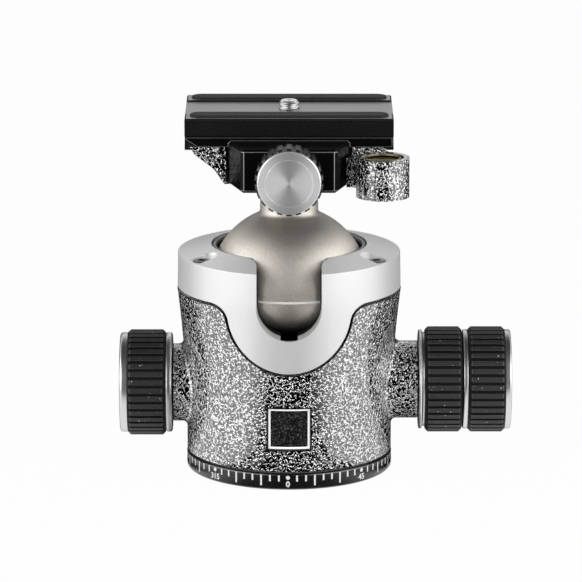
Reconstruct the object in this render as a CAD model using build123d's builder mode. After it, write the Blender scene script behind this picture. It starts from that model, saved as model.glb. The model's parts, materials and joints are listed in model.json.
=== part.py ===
"""Tripod ball head with a dovetail quick-release clamp and plate, in millimetres.

The origin is the centre of the base's underside, +Z points up the ball's neck and the drop notch
and the clamp knob face -Y. At rest the ball stands upright, every lock is loose and the jaw is shut.
Most sizes are walls, steps and rises from the ball or from the piece below, so that the pieces
keep together when one of them changes.
"""

import math
import os

from build123d import *

# Fits
running = 0.05  # radial play of a shaft in its bore
gap = 0.3  # room between curved faces that move past each other
slip = 0.1  # room between flat faces that slide on each other
snug = 0.03  # radial play of pieces that are fixed to each other
fine_bevel = 0.3  # broken edge of a small turned piece

# Ball and neck
ball_radius = 25.5
neck_radius = 9.3
neck_length = 10.9
neck_blend = 2.0
shim_space = 0.7
shim_radius = 10.2

# Rings that hold the ball
liner_wall = 2.8
cradle_depth = 14.8
ring_mouth_inset = 2.0
ring_neck_inset = 0.6
ring_sink = 0.9
pad_radius = 5.0
pad_thickness = 2.1

# Base and pan bearing
base_height = 5.3
base_overhang = 0.1
base_bevel = 0.4
tripod_hole_radius = 4.8
tripod_hole_depth = 13.0
washer_thickness = 0.4
washer_inset = 1.2
flange_height = 6.0
drum_inset = 1.5
drum_wall = 9.0
drum_height = 7.4
spindle_shoulder = 5.0
spanner_hole_radius = 1.6

# Housing
housing_wall = 7.4
housing_taper = 3.0
taper_rise = 6.2
chamber_room = 1.0
ledge_room = 0.9
floor_thickness = 1.6
floor_screw_radius = 0.8
floor_screw_head_radius = 1.5
floor_screw_head_height = 1.0
floor_screw_length = 5.0
boss_radius = 12.5
left_boss_reach = 1.4
right_boss_reach = 5.4
boss_blend = 1.6
joint_line = 0.7

# Bare label on the front of the housing
label_rise = 14.0
label_side = 13.2
label_recess = 1.3
label_sheet = 0.25
label_rim = 0.45
label_border = 0.7

# Collar with the drop notch
collar_inset = 0.1
collar_draft = 0.2
shoulder_rise = 11.3
shoulder_round = 1.3
lid_rise = 3.1
lid_thickness = 1.2
collar_lip = 2.6
mouth_inset = 0.55
mouth_overlap = 2.0
notch_room = 0.95
notch_flare = 9.5
flare_step = 0.6
liner_lip = 0.4
skirt_radius = 19.6
skirt_drop = 1.4
skirt_blend = 5.8
skirt_draft = 1.6
key_slot_width = 5.4
key_slot_depth = 2.4
key_slot_wall = 1.8
screw_inset = 3.6
screw_angles = (-60.0, 60.0, 180.0)
screw_pocket_width = 6.4
screw_pocket_rise = 0.15
screw_pocket_reach = 2.2
screw_seat_depth = 1.3
screw_head_room = 0.2
screw_head_radius = 2.7
screw_head_height = 1.7
screw_radius = 1.5
screw_socket_radius = 1.5
screw_socket_depth = 1.2
screw_length = 17.0

# Locks across the housing
pan_axis_rise = 7.2
lock_axis_rise = 5.7
pan_shaft_radius = 4.0
pan_tip_radius = 3.0
pan_bush_radius = 6.0
bush_room = 1.0
lock_shaft_radius = 4.2
lock_bush_radius = 6.6
friction_screw_radius = 2.5
ball_room = 3.3
shoe_half_width = 7.0
shoe_rise = 0.7
shoe_over = 4.5
shoe_seat = 0.8
shoe_play = 0.8
wedge_half_width = 8.0
wedge_length = 10.5
wedge_room = 5.5
wedge_angle = 10.0
wedge_rise = 4.6
shaft_lead = 1.0
cup_rise = 7.4
cup_step = 2.0
cup_play = 0.55
foot_play = 0.5

# Knobs on the two locks
grip_radius = 17.0
grip_wall = 2.5
grip_ribs = 40
grip_groove_width = 1.05
grip_groove_depth = 0.6
grip_edge = 1.0
trim_inset = 0.95
trim_edge = 0.4
ring_width = 2.1
ring_step = 0.9
middle_ring_width = 1.7
left_grip = 12.3
lock_grip = 11.8
friction_grip = 11.9
left_cap = 2.4
right_cap = 1.85
knob_play = 0.3
left_cap_round = 1.0
right_cap_round = 0.7

# Clamp casting
casting_height = 12.1
channel_rise = 10.7
casting_foot_half = 20.2
casting_waist_half = 23.7
casting_waist_rise = 5.1
wing_half = 31.2
wing_root_step = 1.5
wing_root_rise = 9.7
foot_round = 1.8
waist_round = 5.0
wing_round = 1.2
pad_step = 1.4
bolt_radius = 4.0
bolt_head_radius = 6.5
bolt_head_height = 5.0
bolt_sink = 0.3
bolt_socket_radius = 3.0
bolt_socket_depth = 3.0
bolt_depth = 11.6
ear_radius = 8.3
ear_side_step = 1.1
ear_reach = 11.1
ear_rise = 11.0
ear_drop = 1.5
web_margin = 0.9
web_root = 4.0
web_reach = 9.1
web_back_step = 3.6
web_round = 1.6
vial_radius = 5.4
vial_ring_wall = 1.2
vial_rise = 1.7
vial_sink = 0.9
vial_dip = 0.2

# Plate
plate_width = 40.3
plate_length = 65.8
plate_height = 10.2
plate_room = 0.2
plate_bevel = 0.45
deck_rise = 4.6
groove_rise = 3.2
groove_depth = 2.5
flange_inset = 1.45
strip_end = 1.6
strip_width = 6.8
strip_edge = 1.85
strip_sink = 0.6
strip_height = 0.75
strip_bevel = 0.25
channel_edge = 0.7
centre_channel_depth = 0.6
camera_thread_radius = 3.175
camera_thread_rise = 2.2
camera_thread_sink = 0.5
camera_tip_bevel = 0.8
camera_dimple_radius = 0.7
camera_dimple_depth = 0.5
camera_neck_radius = 2.5
camera_head_radius = 5.6
camera_head_height = 1.8
camera_head_room = 0.8
camera_slot_width = 1.2
camera_slot_depth = 1.0
clip_radius = 4.4
clip_thickness = 1.2
stop_radius = 1.5
stop_inset = 3.4
stop_length = 3.4
stop_drop = 0.6
stop_groove_depth = 1.0
plate_travel = 15.0

# Jaws, clamp screw and clamp knob
clamp_overlap = 0.2
blade_inset = 0.5
blade_rise = 0.2
blade_reach = 1.7
blade_tip_step = 0.6
blade_play = 0.15
blade_cut_length = 3.6
blade_cut_height = 2.3
block_depth = 15.6
block_front_half = 14.9
block_back_half = 19.6
block_rise = 0.3
block_height = 13.9
block_bevel = 0.8
jaw_travel = 2.6
rear_block_depth = 6.2
rear_block_taper = 2.6
rear_block_lift = 1.5
rear_head_radius = 2.9
rear_head_height = 2.4
rear_socket_radius = 1.5
rear_socket_depth = 1.8
rear_screw_length = 8.0
screw_rise = 5.7
clamp_screw_radius = 3.0
clamp_screw_depth = 9.7
guide_offset = 10.5
guide_radius = 1.75
guide_cover = 3.5
spring_radius = 3.6
spring_wire = 0.4
spring_turns = 5
spring_space = 6.0
knob_stand_off = 1.0
clamp_rim_length = 8.3
clamp_rim_radius = 10.7
clamp_rim_wall = 1.9
clamp_rim_ribs = 22
clamp_rim_groove_width = 1.3
clamp_rim_groove_depth = 0.7
clamp_rim_edge = 0.5
clamp_cap_thickness = 1.2
clamp_cap_inset = 0.75
clamp_cap_edge = 0.35
clamp_cap_groove = 7.3
clamp_cap_groove_width = 0.2

# Radii that follow from the ball
drum_radius = ball_radius - drum_inset
spigot_radius = drum_radius - drum_wall
spindle_radius = spigot_radius + spindle_shoulder
chamber_radius = drum_radius + chamber_room
liner_radius = ball_radius + liner_wall
cavity_radius = liner_radius + 2 * slip
housing_rim_radius = cavity_radius + housing_wall
housing_foot_radius = housing_rim_radius - housing_taper
base_radius = housing_foot_radius + base_overhang
label_seat_radius = housing_foot_radius - label_recess
collar_radius = housing_rim_radius - collar_inset
collar_shoulder_radius = collar_radius - collar_draft
collar_mouth = ball_radius - mouth_inset
ring_mouth = ball_radius - ring_mouth_inset
ring_neck_radius = collar_mouth - ring_neck_inset
screw_circle = collar_shoulder_radius - screw_inset
floor_screw_circle = cavity_radius - floor_screw_head_radius - gap
notch_half_width = neck_radius + notch_room
grip_bore = grip_radius - grip_wall
trim_radius = grip_radius - trim_inset
beyond = 3 * base_radius  # longer than any cut through the head

# Heights of base, housing and ball
housing_bottom = base_height + washer_thickness + slip
flange_top = housing_bottom + flange_height
drum_bottom = flange_top + slip + washer_thickness
drum_top = drum_bottom + drum_height
ledge_height = drum_top + ledge_room
floor_top = ledge_height + floor_thickness
pan_axis = drum_top + pan_axis_rise
lock_axis = floor_top + lock_axis_rise
label_height = housing_bottom + label_rise
taper_start = housing_bottom + taper_rise
ball_height = lock_axis + friction_screw_radius + ball_room + ball_radius
collar_bottom = ball_height + gap
housing_top = collar_bottom - joint_line
skirt_centre = ball_height - skirt_drop
skirt_bottom = skirt_centre - skirt_radius
collar_shoulder = ball_height + shoulder_rise
collar_rim_height = collar_shoulder + lid_rise
ring_shoulder = collar_shoulder - lid_thickness
ring_top = collar_rim_height - ring_sink
lid_slope = (collar_rim_height - collar_lip - ring_shoulder) / (cavity_radius - collar_mouth)
lid_inner_radius = collar_mouth - mouth_overlap
lid_inner_height = ring_shoulder + lid_slope * (cavity_radius - lid_inner_radius)
screw_pocket_floor = collar_shoulder + screw_pocket_rise
screw_seat = screw_pocket_floor - screw_seat_depth
cradle_bottom = ball_height - cradle_depth

# Places along the locks
left_boss_end = housing_rim_radius + left_boss_reach
right_boss_end = housing_rim_radius + right_boss_reach
left_trim_start = left_boss_end + knob_play
left_grip_start = left_trim_start + ring_width
left_cap_start = left_grip_start + left_grip
right_trim_start = right_boss_end + knob_play
lock_grip_start = right_trim_start + ring_width
lock_grip_end = lock_grip_start + lock_grip
middle_trim_start = lock_grip_end + knob_play
friction_grip_start = middle_trim_start + middle_ring_width
right_cap_start = friction_grip_start + friction_grip
shoe_bottom = drum_bottom + shoe_rise
shoe_top = pan_axis + shoe_over
shoe_back = cavity_radius + shoe_seat
floor_notch = drum_radius - shoe_play - 2 * gap
wedge_slope = math.tan(math.radians(wedge_angle))
wedge_far = cavity_radius - wedge_room
wedge_near = wedge_far - wedge_length
wedge_low_side = lock_axis + wedge_rise
foot_low = wedge_low_side + foot_play
cup_bottom = lock_axis + cup_rise
cup_bore = wedge_near + cup_step

# Heights of clamp and plate
neck_top = ball_height + ball_radius + neck_length
bolt_tip = neck_top - bolt_depth
clamp_bottom = neck_top + shim_space
clamp_top = clamp_bottom + casting_height
channel_floor = clamp_bottom + channel_rise
waist_height = clamp_bottom + casting_waist_rise
wing_root_height = clamp_bottom + wing_root_rise
ear_top = clamp_bottom + ear_rise
ear_bottom = clamp_bottom - ear_drop
vial_floor = clamp_bottom + vial_rise
screw_axis = clamp_bottom + screw_rise
block_bottom = clamp_bottom + block_rise
block_top = block_bottom + block_height
plate_bottom = channel_floor + plate_room
groove_height = plate_bottom + groove_rise
deck_bottom = plate_bottom + deck_rise
plate_top = plate_bottom + plate_height
blade_bottom = clamp_top + blade_rise
blade_top = deck_bottom - gap
camera_head_bottom = plate_bottom + camera_head_room
camera_head_top = camera_head_bottom + camera_head_height
camera_thread_start = plate_top - camera_thread_sink
camera_screw_top = plate_top + camera_thread_rise
clip_bottom = camera_head_top + gap

# Places along clamp and plate
plate_half_depth = plate_width / 2
flange_half = plate_half_depth - flange_inset
groove_half = flange_half - groove_depth
clamp_half_depth = flange_half + clamp_overlap
pad_half_depth = clamp_half_depth + pad_step
blade_length = plate_length - 2 * blade_inset
blade_front = clamp_half_depth + blade_reach
blade_tip = groove_half + blade_tip_step
strip_length = plate_length - 2 * strip_end
strip_offset = plate_half_depth - strip_edge - strip_width / 2
centre_channel_half = strip_offset - strip_width / 2 - channel_edge
stop_offset = plate_length / 2 - stop_inset
stop_groove_start = stop_offset - plate_travel - stop_radius - gap
block_front = clamp_half_depth + block_depth
block_taper = (block_back_half - block_front_half) / (block_depth - slip)
vial_ring_radius = vial_radius + vial_ring_wall
ear_x = block_back_half + gap + ear_radius + ear_side_step
ear_y = -clamp_half_depth - ear_reach
web_x = block_back_half + gap - block_taper * (web_reach - jaw_travel)
clamp_screw_end = clamp_half_depth - clamp_screw_depth
guide_end = block_front - guide_cover
clamp_knob_back = block_front + knob_stand_off
clamp_knob_front = clamp_knob_back + clamp_rim_length
clamp_cap_front = clamp_knob_front + clamp_cap_thickness
clamp_cap_radius = clamp_rim_radius - clamp_cap_inset
clamp_rim_bore = clamp_rim_radius - clamp_rim_wall


def disc_on_x(height, start, end, radius, bore=0.0, bevel=0.0):
    """A round piece about a lock's axis at that height, from one X to a larger one."""
    with BuildPart() as piece:
        with BuildSketch(Plane.YZ.offset(start)):
            with Locations((0, height)):
                Circle(radius)
        extrude(amount=end - start)
        if bevel:
            chamfer(piece.edges().filter_by(GeomType.CIRCLE), bevel)
        if bore:
            with BuildSketch(Plane.YZ.offset(start)):
                with Locations((0, height)):
                    Circle(bore)
            extrude(amount=end - start, mode=Mode.SUBTRACT)
    return piece


def ribbed_grip(plane, centre, length, radius, bore, ribs, groove_width, groove_depth, bevel):
    """A ring with grooves along it, for fingers to hold."""
    with BuildPart() as piece:
        with BuildSketch(plane):
            with Locations(centre):
                Circle(radius)
        extrude(amount=length)
        chamfer(piece.edges().filter_by(GeomType.CIRCLE), bevel)
        with BuildSketch(plane):
            with Locations(centre):
                Circle(bore)
                with PolarLocations(radius, ribs):
                    Rectangle(2 * groove_depth, groove_width)
        extrude(amount=length, mode=Mode.SUBTRACT)
    return piece


def flat_ring(bottom, height, radius, bore):
    """A flat ring about the vertical axis."""
    with BuildPart() as piece:
        with BuildSketch(Plane.XY.offset(bottom)):
            Circle(radius)
            Circle(bore, mode=Mode.SUBTRACT)
        extrude(amount=height)
    return piece


# ---- Base, fixed to the tripod ----

with BuildPart() as base_disc:
    with BuildSketch():
        Circle(base_radius)
    extrude(amount=base_height)
    chamfer(base_disc.edges().filter_by(GeomType.CIRCLE), base_bevel)
    with BuildSketch(Plane.XY.offset(base_height)):
        Circle(spindle_radius)
    extrude(amount=drum_bottom - base_height)
    with BuildSketch(Plane.XY.offset(drum_bottom)):
        Circle(spigot_radius)
    extrude(amount=drum_height)
    with BuildSketch():
        Circle(tripod_hole_radius)
    extrude(amount=tripod_hole_depth, mode=Mode.SUBTRACT)

pan_washer = flat_ring(
    base_height, washer_thickness, housing_foot_radius - washer_inset, spindle_radius + gap
)
pan_upper_washer = flat_ring(
    drum_bottom - washer_thickness,
    washer_thickness,
    drum_radius - washer_inset,
    spindle_radius + gap,
)

with BuildPart() as brake_drum:
    with BuildSketch(Plane.XY.offset(drum_bottom)):
        Circle(drum_radius)
        Circle(spigot_radius + snug, mode=Mode.SUBTRACT)
    extrude(amount=drum_height)
    with BuildSketch(Plane.XY.offset(drum_top)):
        with PolarLocations((drum_radius + spigot_radius) / 2, 4):
            Circle(spanner_hole_radius)
    extrude(amount=-drum_height / 2, mode=Mode.SUBTRACT)

# ---- Outlines shared by the housing and the collar ----


def skirt_outline(clearance):
    """The collar's tongue round the notch and all that lies above it, seen from the front."""
    radius = skirt_radius + clearance
    with BuildSketch(Plane.XZ) as outline:
        with Locations((0, collar_bottom - clearance)):
            Rectangle(beyond, beyond, align=(Align.CENTER, Align.MIN))
        with Locations(Location((0, skirt_centre, 0), (0, 0, 90))):
            Circle(radius)
        corners = [
            v for v in outline.vertices() if abs(v.X) < radius + gap and v.Y < collar_bottom + gap
        ]
        fillet(corners, skirt_blend - clearance)
    return outline.sketch


def mouth_outline(radius, half_width, flare):
    """The opening for ball and neck in plan, with the notch flowing into the round mouth."""
    with BuildSketch(Plane.XY.offset(ball_height)) as outline:
        Circle(radius)
        Rectangle(2 * half_width, beyond, align=(Align.CENTER, Align.MAX))
        corners = [v for v in outline.vertices() if -radius < v.Y < -half_width]
        fillet(corners, flare)
    return outline.sketch


def notch_foot(half_width):
    """The round foot of the notch, seen from the front."""
    with BuildSketch(Plane.XZ) as outline:
        with Locations((0, ball_height)):
            Circle(half_width)
            Rectangle(2 * half_width, half_width, align=(Align.CENTER, Align.MIN))
    return outline.sketch


def key_slot():
    """The narrow slot at the bottom of the notch, behind the collar's outer wall."""
    with BuildSketch(Plane.XY.offset(ball_height - notch_half_width - key_slot_depth)) as outline:
        with Locations((0, key_slot_wall - collar_radius)):
            Rectangle(key_slot_width, collar_radius, align=(Align.CENTER, Align.MIN))
    return outline.sketch


screw_places = [
    (
        screw_circle * math.sin(math.radians(angle)),
        -screw_circle * math.cos(math.radians(angle)),
    )
    for angle in screw_angles
]
housing_front = skirt_outline(joint_line)
collar_front = skirt_outline(0)
collar_mouth_outline = mouth_outline(collar_mouth, notch_half_width, notch_flare)
ring_mouth_outline = mouth_outline(
    ring_mouth, notch_half_width - liner_lip, notch_flare - flare_step
)
notch_outline = notch_foot(notch_half_width)
slot_outline = key_slot()

# ---- Housing that turns on the base ----

with BuildPart() as housing:
    with BuildSketch(Plane.YZ):
        with BuildLine():
            Polyline(
                (0, housing_top),
                (0, housing_bottom),
                (housing_foot_radius, housing_bottom),
                (housing_foot_radius, taper_start),
            )
            TangentArc(
                (housing_foot_radius, taper_start),
                (housing_rim_radius, housing_top),
                tangent=(0, 1),
            )
            Line((housing_rim_radius, housing_top), (0, housing_top))
        make_face()
    revolve(axis=Axis.Z)
    with BuildSketch(Plane.YZ):
        with Locations((0, pan_axis)):
            Circle(boss_radius)
    extrude(amount=-left_boss_end)
    with BuildSketch(Plane.YZ):
        with Locations((0, lock_axis)):
            Circle(boss_radius)
    extrude(amount=right_boss_end)
    boss_roots = [
        e
        for e in housing.edges()
        if e.geom_type != GeomType.CIRCLE and abs(e.center().X) > housing_foot_radius / 2
        and e.length > boss_radius
    ]
    fillet(boss_roots, boss_blend)
    with BuildSketch(Plane.XY.offset(housing_bottom)):
        Circle(spindle_radius + running)
    extrude(amount=flange_height, mode=Mode.SUBTRACT)
    with BuildSketch(Plane.XY.offset(flange_top)):
        Circle(chamber_radius)
    extrude(amount=ledge_height - flange_top, mode=Mode.SUBTRACT)
    with BuildSketch(Plane.XY.offset(ledge_height)):
        Circle(cavity_radius)
    extrude(amount=housing_top - ledge_height, mode=Mode.SUBTRACT)
    with BuildSketch(Plane.YZ.offset(-left_boss_end)):
        with Locations((0, pan_axis)):
            Circle(pan_bush_radius + snug)
    extrude(amount=left_boss_end, mode=Mode.SUBTRACT)
    with BuildSketch(Plane.YZ.offset(right_boss_end)):
        with Locations((0, lock_axis)):
            Circle(lock_bush_radius + snug)
    extrude(amount=-right_boss_end, mode=Mode.SUBTRACT)
    with BuildSketch(Plane.XY.offset(shoe_bottom - gap)):
        with Locations((-shoe_back - gap, 0)):
            Rectangle(
                shoe_back, 2 * (shoe_half_width + gap), align=(Align.MIN, Align.CENTER)
            )
    extrude(amount=shoe_top - shoe_bottom + 2 * gap, mode=Mode.SUBTRACT)
    extrude(housing_front, amount=beyond, mode=Mode.SUBTRACT)
    with BuildSketch(Plane.XY.offset(label_height - label_side / 2 - slip)):
        Circle(beyond)
        Circle(label_seat_radius, mode=Mode.SUBTRACT)
        Rectangle(
            label_side + 2 * slip, beyond, align=(Align.CENTER, Align.MAX), mode=Mode.INTERSECT
        )
    extrude(amount=label_side + 2 * slip, mode=Mode.SUBTRACT)
    with BuildSketch(Plane.XY.offset(housing_top)):
        with Locations(*screw_places):
            Circle(screw_radius + slip)
    extrude(amount=-screw_length / 2, mode=Mode.SUBTRACT)
    with BuildSketch(Plane.XY.offset(ledge_height)):
        with PolarLocations(floor_screw_circle, 3, start_angle=30):
            Circle(floor_screw_radius + slip)
    extrude(amount=-floor_screw_length, mode=Mode.SUBTRACT)

with BuildPart() as floor_plate:
    with BuildSketch(Plane.XY.offset(ledge_height)):
        Circle(cavity_radius - slip)
        with Locations((-floor_notch, 0)):
            Rectangle(
                drum_radius,
                2 * (shoe_half_width + gap),
                align=(Align.MAX, Align.CENTER),
                mode=Mode.SUBTRACT,
            )
        with PolarLocations(floor_screw_circle, 3, start_angle=30):
            Circle(floor_screw_radius + slip, mode=Mode.SUBTRACT)
    extrude(amount=floor_thickness)

with BuildPart() as floor_screws:
    with BuildSketch(Plane.XY.offset(floor_top)):
        with PolarLocations(floor_screw_circle, 3, start_angle=30):
            Circle(floor_screw_head_radius)
    extrude(amount=floor_screw_head_height)
    with BuildSketch(Plane.XY.offset(floor_top)):
        with PolarLocations(floor_screw_circle, 3, start_angle=30):
            Circle(floor_screw_radius)
    extrude(amount=-floor_screw_length)

with BuildPart() as label_plate:
    with BuildSketch(Plane.XY.offset(label_height - label_side / 2 + label_border)):
        Circle(label_seat_radius + label_sheet)
        Circle(label_seat_radius + snug, mode=Mode.SUBTRACT)
        Rectangle(
            label_side - 2 * label_border,
            beyond,
            align=(Align.CENTER, Align.MAX),
            mode=Mode.INTERSECT,
        )
    extrude(amount=label_side - 2 * label_border)

with BuildPart() as label_frame:
    with BuildSketch(Plane.XY.offset(label_height - label_side / 2)):
        Circle(label_seat_radius + label_rim)
        Circle(label_seat_radius + snug, mode=Mode.SUBTRACT)
        Rectangle(label_side, beyond, align=(Align.CENTER, Align.MAX), mode=Mode.INTERSECT)
    extrude(amount=label_side)
    with BuildSketch(Plane.XZ):
        with Locations((0, label_height)):
            Rectangle(label_side - 2 * label_border, label_side - 2 * label_border)
    extrude(amount=beyond, mode=Mode.SUBTRACT)

# ---- Collar over the ball, open at the front for the neck ----

with BuildPart() as collar:
    with BuildSketch(Plane.YZ):
        Polygon(
            (cavity_radius, skirt_bottom - gap),
            (collar_radius - skirt_draft, skirt_bottom - gap),
            (collar_radius, collar_bottom),
            (collar_shoulder_radius, collar_shoulder),
            (lid_inner_radius, collar_rim_height),
            (lid_inner_radius, lid_inner_height),
            (cavity_radius, ring_shoulder),
            align=None,
        )
    revolve(axis=Axis.Z)
    shoulder = collar.edges().filter_by(GeomType.CIRCLE).group_by(Axis.Z)[-2]
    fillet(shoulder.sort_by(SortBy.RADIUS)[-1], shoulder_round)
    extrude(collar_front, amount=beyond, both=True, mode=Mode.INTERSECT)
    with BuildSketch(Plane.XZ):
        Rectangle(beyond, collar_bottom, align=(Align.CENTER, Align.MIN))
    extrude(amount=-beyond, mode=Mode.SUBTRACT)
    extrude(collar_mouth_outline, amount=beyond, mode=Mode.SUBTRACT)
    extrude(notch_outline, amount=beyond, mode=Mode.SUBTRACT)
    extrude(slot_outline, amount=2 * key_slot_depth, mode=Mode.SUBTRACT)
    for angle in screw_angles:
        with BuildSketch(Plane.XY.offset(screw_pocket_floor).rotated((0, 0, angle))):
            with Locations((0, -screw_circle)):
                Rectangle(screw_pocket_width, beyond, align=(Align.CENTER, Align.MAX))
            with Locations((0, -screw_circle)):
                Rectangle(
                    screw_pocket_width, screw_pocket_reach, align=(Align.CENTER, Align.MIN)
                )
            with Locations((0, -screw_circle + screw_pocket_reach)):
                Circle(screw_pocket_width / 2)
        extrude(amount=beyond, mode=Mode.SUBTRACT)
    with BuildSketch(Plane.XY.offset(screw_seat)):
        with Locations(*screw_places):
            Circle(screw_head_radius + screw_head_room)
    extrude(amount=beyond, mode=Mode.SUBTRACT)
    with BuildSketch(Plane.XY.offset(screw_seat)):
        with Locations(*screw_places):
            Circle(screw_radius + slip)
    extrude(amount=-screw_length, mode=Mode.SUBTRACT)

with BuildPart() as collar_screws:
    with BuildSketch(Plane.XY.offset(screw_seat)):
        with Locations(*screw_places):
            Circle(screw_head_radius)
    extrude(amount=screw_head_height)
    chamfer(collar_screws.edges().filter_by(GeomType.CIRCLE).group_by(Axis.Z)[-1], fine_bevel)
    with BuildSketch(Plane.XY.offset(screw_seat + screw_head_height)):
        with Locations(*screw_places):
            RegularPolygon(screw_socket_radius, 6)
    extrude(amount=-screw_socket_depth, mode=Mode.SUBTRACT)
    with BuildSketch(Plane.XY.offset(screw_seat)):
        with Locations(*screw_places):
            Circle(screw_radius)
    extrude(amount=-screw_length)

# ---- Rings that hold the ball: a cup and a cradle below, a friction ring above ----

with BuildPart() as ball_cradle:
    with BuildSketch(Plane.XY.offset(cradle_bottom)):
        Circle(liner_radius)
    extrude(amount=ball_height - gap / 2 - cradle_bottom)
    with Locations((0, 0, ball_height)):
        Sphere(ball_radius + gap, mode=Mode.SUBTRACT)
    extrude(notch_outline, amount=beyond, mode=Mode.SUBTRACT)
    extrude(slot_outline, amount=2 * key_slot_depth, mode=Mode.SUBTRACT)
    with BuildSketch(Plane.XZ):
        with Locations((0, ball_height)):
            Circle(pad_radius + slip)
    extrude(amount=-beyond, mode=Mode.SUBTRACT)

with BuildPart() as friction_ring:
    with BuildSketch(Plane.XZ):
        Polygon(
            (0, ball_height + gap / 2),
            (liner_radius, ball_height + gap / 2),
            (liner_radius, ring_shoulder - gap),
            (ring_neck_radius, collar_rim_height - collar_lip - gap),
            (ring_neck_radius, ring_top),
            (0, ring_top),
            align=None,
        )
    revolve(axis=Axis.Z)
    with Locations((0, 0, ball_height)):
        Sphere(ball_radius + gap, mode=Mode.SUBTRACT)
    extrude(ring_mouth_outline, amount=beyond, mode=Mode.SUBTRACT)
    with BuildSketch(Plane.XZ):
        with Locations((0, ball_height)):
            Circle(pad_radius + slip)
    extrude(amount=-beyond, mode=Mode.SUBTRACT)

with BuildPart() as side_pad:
    with BuildSketch(Plane.XZ):
        with Locations((0, ball_height)):
            Circle(pad_radius)
    extrude(amount=-ball_radius - pad_thickness)
    with Locations((0, 0, ball_height)):
        Sphere(ball_radius + gap, mode=Mode.SUBTRACT)

with BuildPart() as lock_cup:
    with BuildSketch(Plane.XY.offset(cup_bottom)):
        Circle(cavity_radius - snug)
        Circle(cup_bore, mode=Mode.SUBTRACT)
    extrude(amount=cradle_bottom - slip - cup_bottom)
    with Locations((0, 0, ball_height)):
        Sphere(ball_radius + cup_play, mode=Mode.SUBTRACT)
    for side in (-1, 1):
        with BuildSketch(Plane.XZ.offset(-wedge_half_width)):
            Polygon(
                (side * cup_bore, cup_bottom),
                (side * cup_bore, foot_low + wedge_slope * (cup_bore - wedge_near)),
                (side * wedge_far, foot_low + wedge_slope * (wedge_far - wedge_near)),
                (side * wedge_far, cup_bottom),
                align=None,
            )
        extrude(amount=2 * wedge_half_width)


def lock_wedge(side, bore):
    """A threaded block with a sloping top that slides along a lock's shaft."""
    with BuildPart() as piece:
        with BuildSketch(Plane.XZ.offset(-wedge_half_width)):
            Polygon(
                (side * wedge_near, floor_top + slip),
                (side * wedge_near, wedge_low_side),
                (side * wedge_far, wedge_low_side + wedge_slope * (wedge_far - wedge_near)),
                (side * wedge_far, floor_top + slip),
                align=None,
            )
        extrude(amount=2 * wedge_half_width)
        with BuildSketch(Plane.YZ.offset(side * wedge_near)):
            with Locations((0, lock_axis)):
                Circle(bore + running)
        extrude(amount=side * (wedge_far - wedge_near), mode=Mode.SUBTRACT)
    return piece


lock_wedge_block = lock_wedge(1, lock_shaft_radius)
friction_wedge_block = lock_wedge(-1, friction_screw_radius)

# ---- Pan lock on the left ----

pan_bush = disc_on_x(
    pan_axis,
    -left_boss_end,
    -shoe_back - bush_room,
    pan_bush_radius,
    pan_shaft_radius + running,
)

with BuildPart() as pan_shaft:
    with BuildSketch(Plane.YZ.offset(-left_cap_start)):
        with Locations((0, pan_axis)):
            Circle(pan_shaft_radius)
    extrude(amount=left_cap_start - shoe_back - 2 * gap)
    with BuildSketch(Plane.YZ.offset(-left_cap_start)):
        with Locations((0, pan_axis)):
            Circle(pan_tip_radius)
    extrude(amount=left_cap_start - drum_radius - shoe_play)

with BuildPart() as pan_shoe:
    with BuildSketch(Plane.XY.offset(shoe_bottom)):
        with Locations((-drum_radius - shoe_play, 0)):
            Rectangle(
                shoe_back - drum_radius - shoe_play,
                2 * shoe_half_width,
                align=(Align.MAX, Align.CENTER),
            )
        with Locations((-drum_radius, 0)):
            Rectangle(2 * shoe_play, 2 * shoe_half_width)
        Circle(drum_radius + shoe_play, mode=Mode.SUBTRACT)
    extrude(amount=shoe_top - shoe_bottom)
    with BuildSketch(Plane.YZ.offset(-shoe_back)):
        with Locations((0, pan_axis)):
            Circle(pan_tip_radius + running)
    extrude(amount=shoe_back, mode=Mode.SUBTRACT)

pan_knob_ring = disc_on_x(
    pan_axis, -left_grip_start, -left_trim_start, trim_radius, pan_shaft_radius + snug, trim_edge
)
pan_knob_core = disc_on_x(
    pan_axis, -left_cap_start, -left_grip_start, grip_bore - snug, pan_shaft_radius + snug
)
pan_knob_grip = ribbed_grip(
    Plane.YZ.offset(-left_cap_start),
    (0, pan_axis),
    left_grip,
    grip_radius,
    grip_bore,
    grip_ribs,
    grip_groove_width,
    grip_groove_depth,
    grip_edge,
)
with BuildPart() as pan_knob_cap:
    with BuildSketch(Plane.YZ.offset(-left_cap_start)):
        with Locations((0, pan_axis)):
            Circle(trim_radius)
    extrude(amount=-left_cap)
    fillet(pan_knob_cap.edges().filter_by(GeomType.CIRCLE).sort_by(Axis.X)[0], left_cap_round)

# ---- Ball lock and friction control on the right, one inside the other ----

lock_bush = disc_on_x(
    lock_axis,
    cavity_radius + slip,
    right_boss_end,
    lock_bush_radius,
    lock_shaft_radius + running,
)
lock_shaft = disc_on_x(
    lock_axis,
    wedge_near - shaft_lead,
    lock_grip_end,
    lock_shaft_radius,
    friction_screw_radius + running,
)

with BuildPart() as lock_knob_ring:
    with BuildSketch(Plane.YZ.offset(right_trim_start)):
        with Locations((0, lock_axis)):
            Circle(trim_radius)
    extrude(amount=ring_width - ring_step)
    chamfer(lock_knob_ring.edges().filter_by(GeomType.CIRCLE), trim_edge)
    with BuildSketch(Plane.YZ.offset(right_trim_start)):
        with Locations((0, lock_axis)):
            Circle(trim_radius - ring_step)
    extrude(amount=ring_width)
    with BuildSketch(Plane.YZ.offset(right_trim_start)):
        with Locations((0, lock_axis)):
            Circle(lock_shaft_radius + snug)
    extrude(amount=ring_width, mode=Mode.SUBTRACT)

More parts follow.
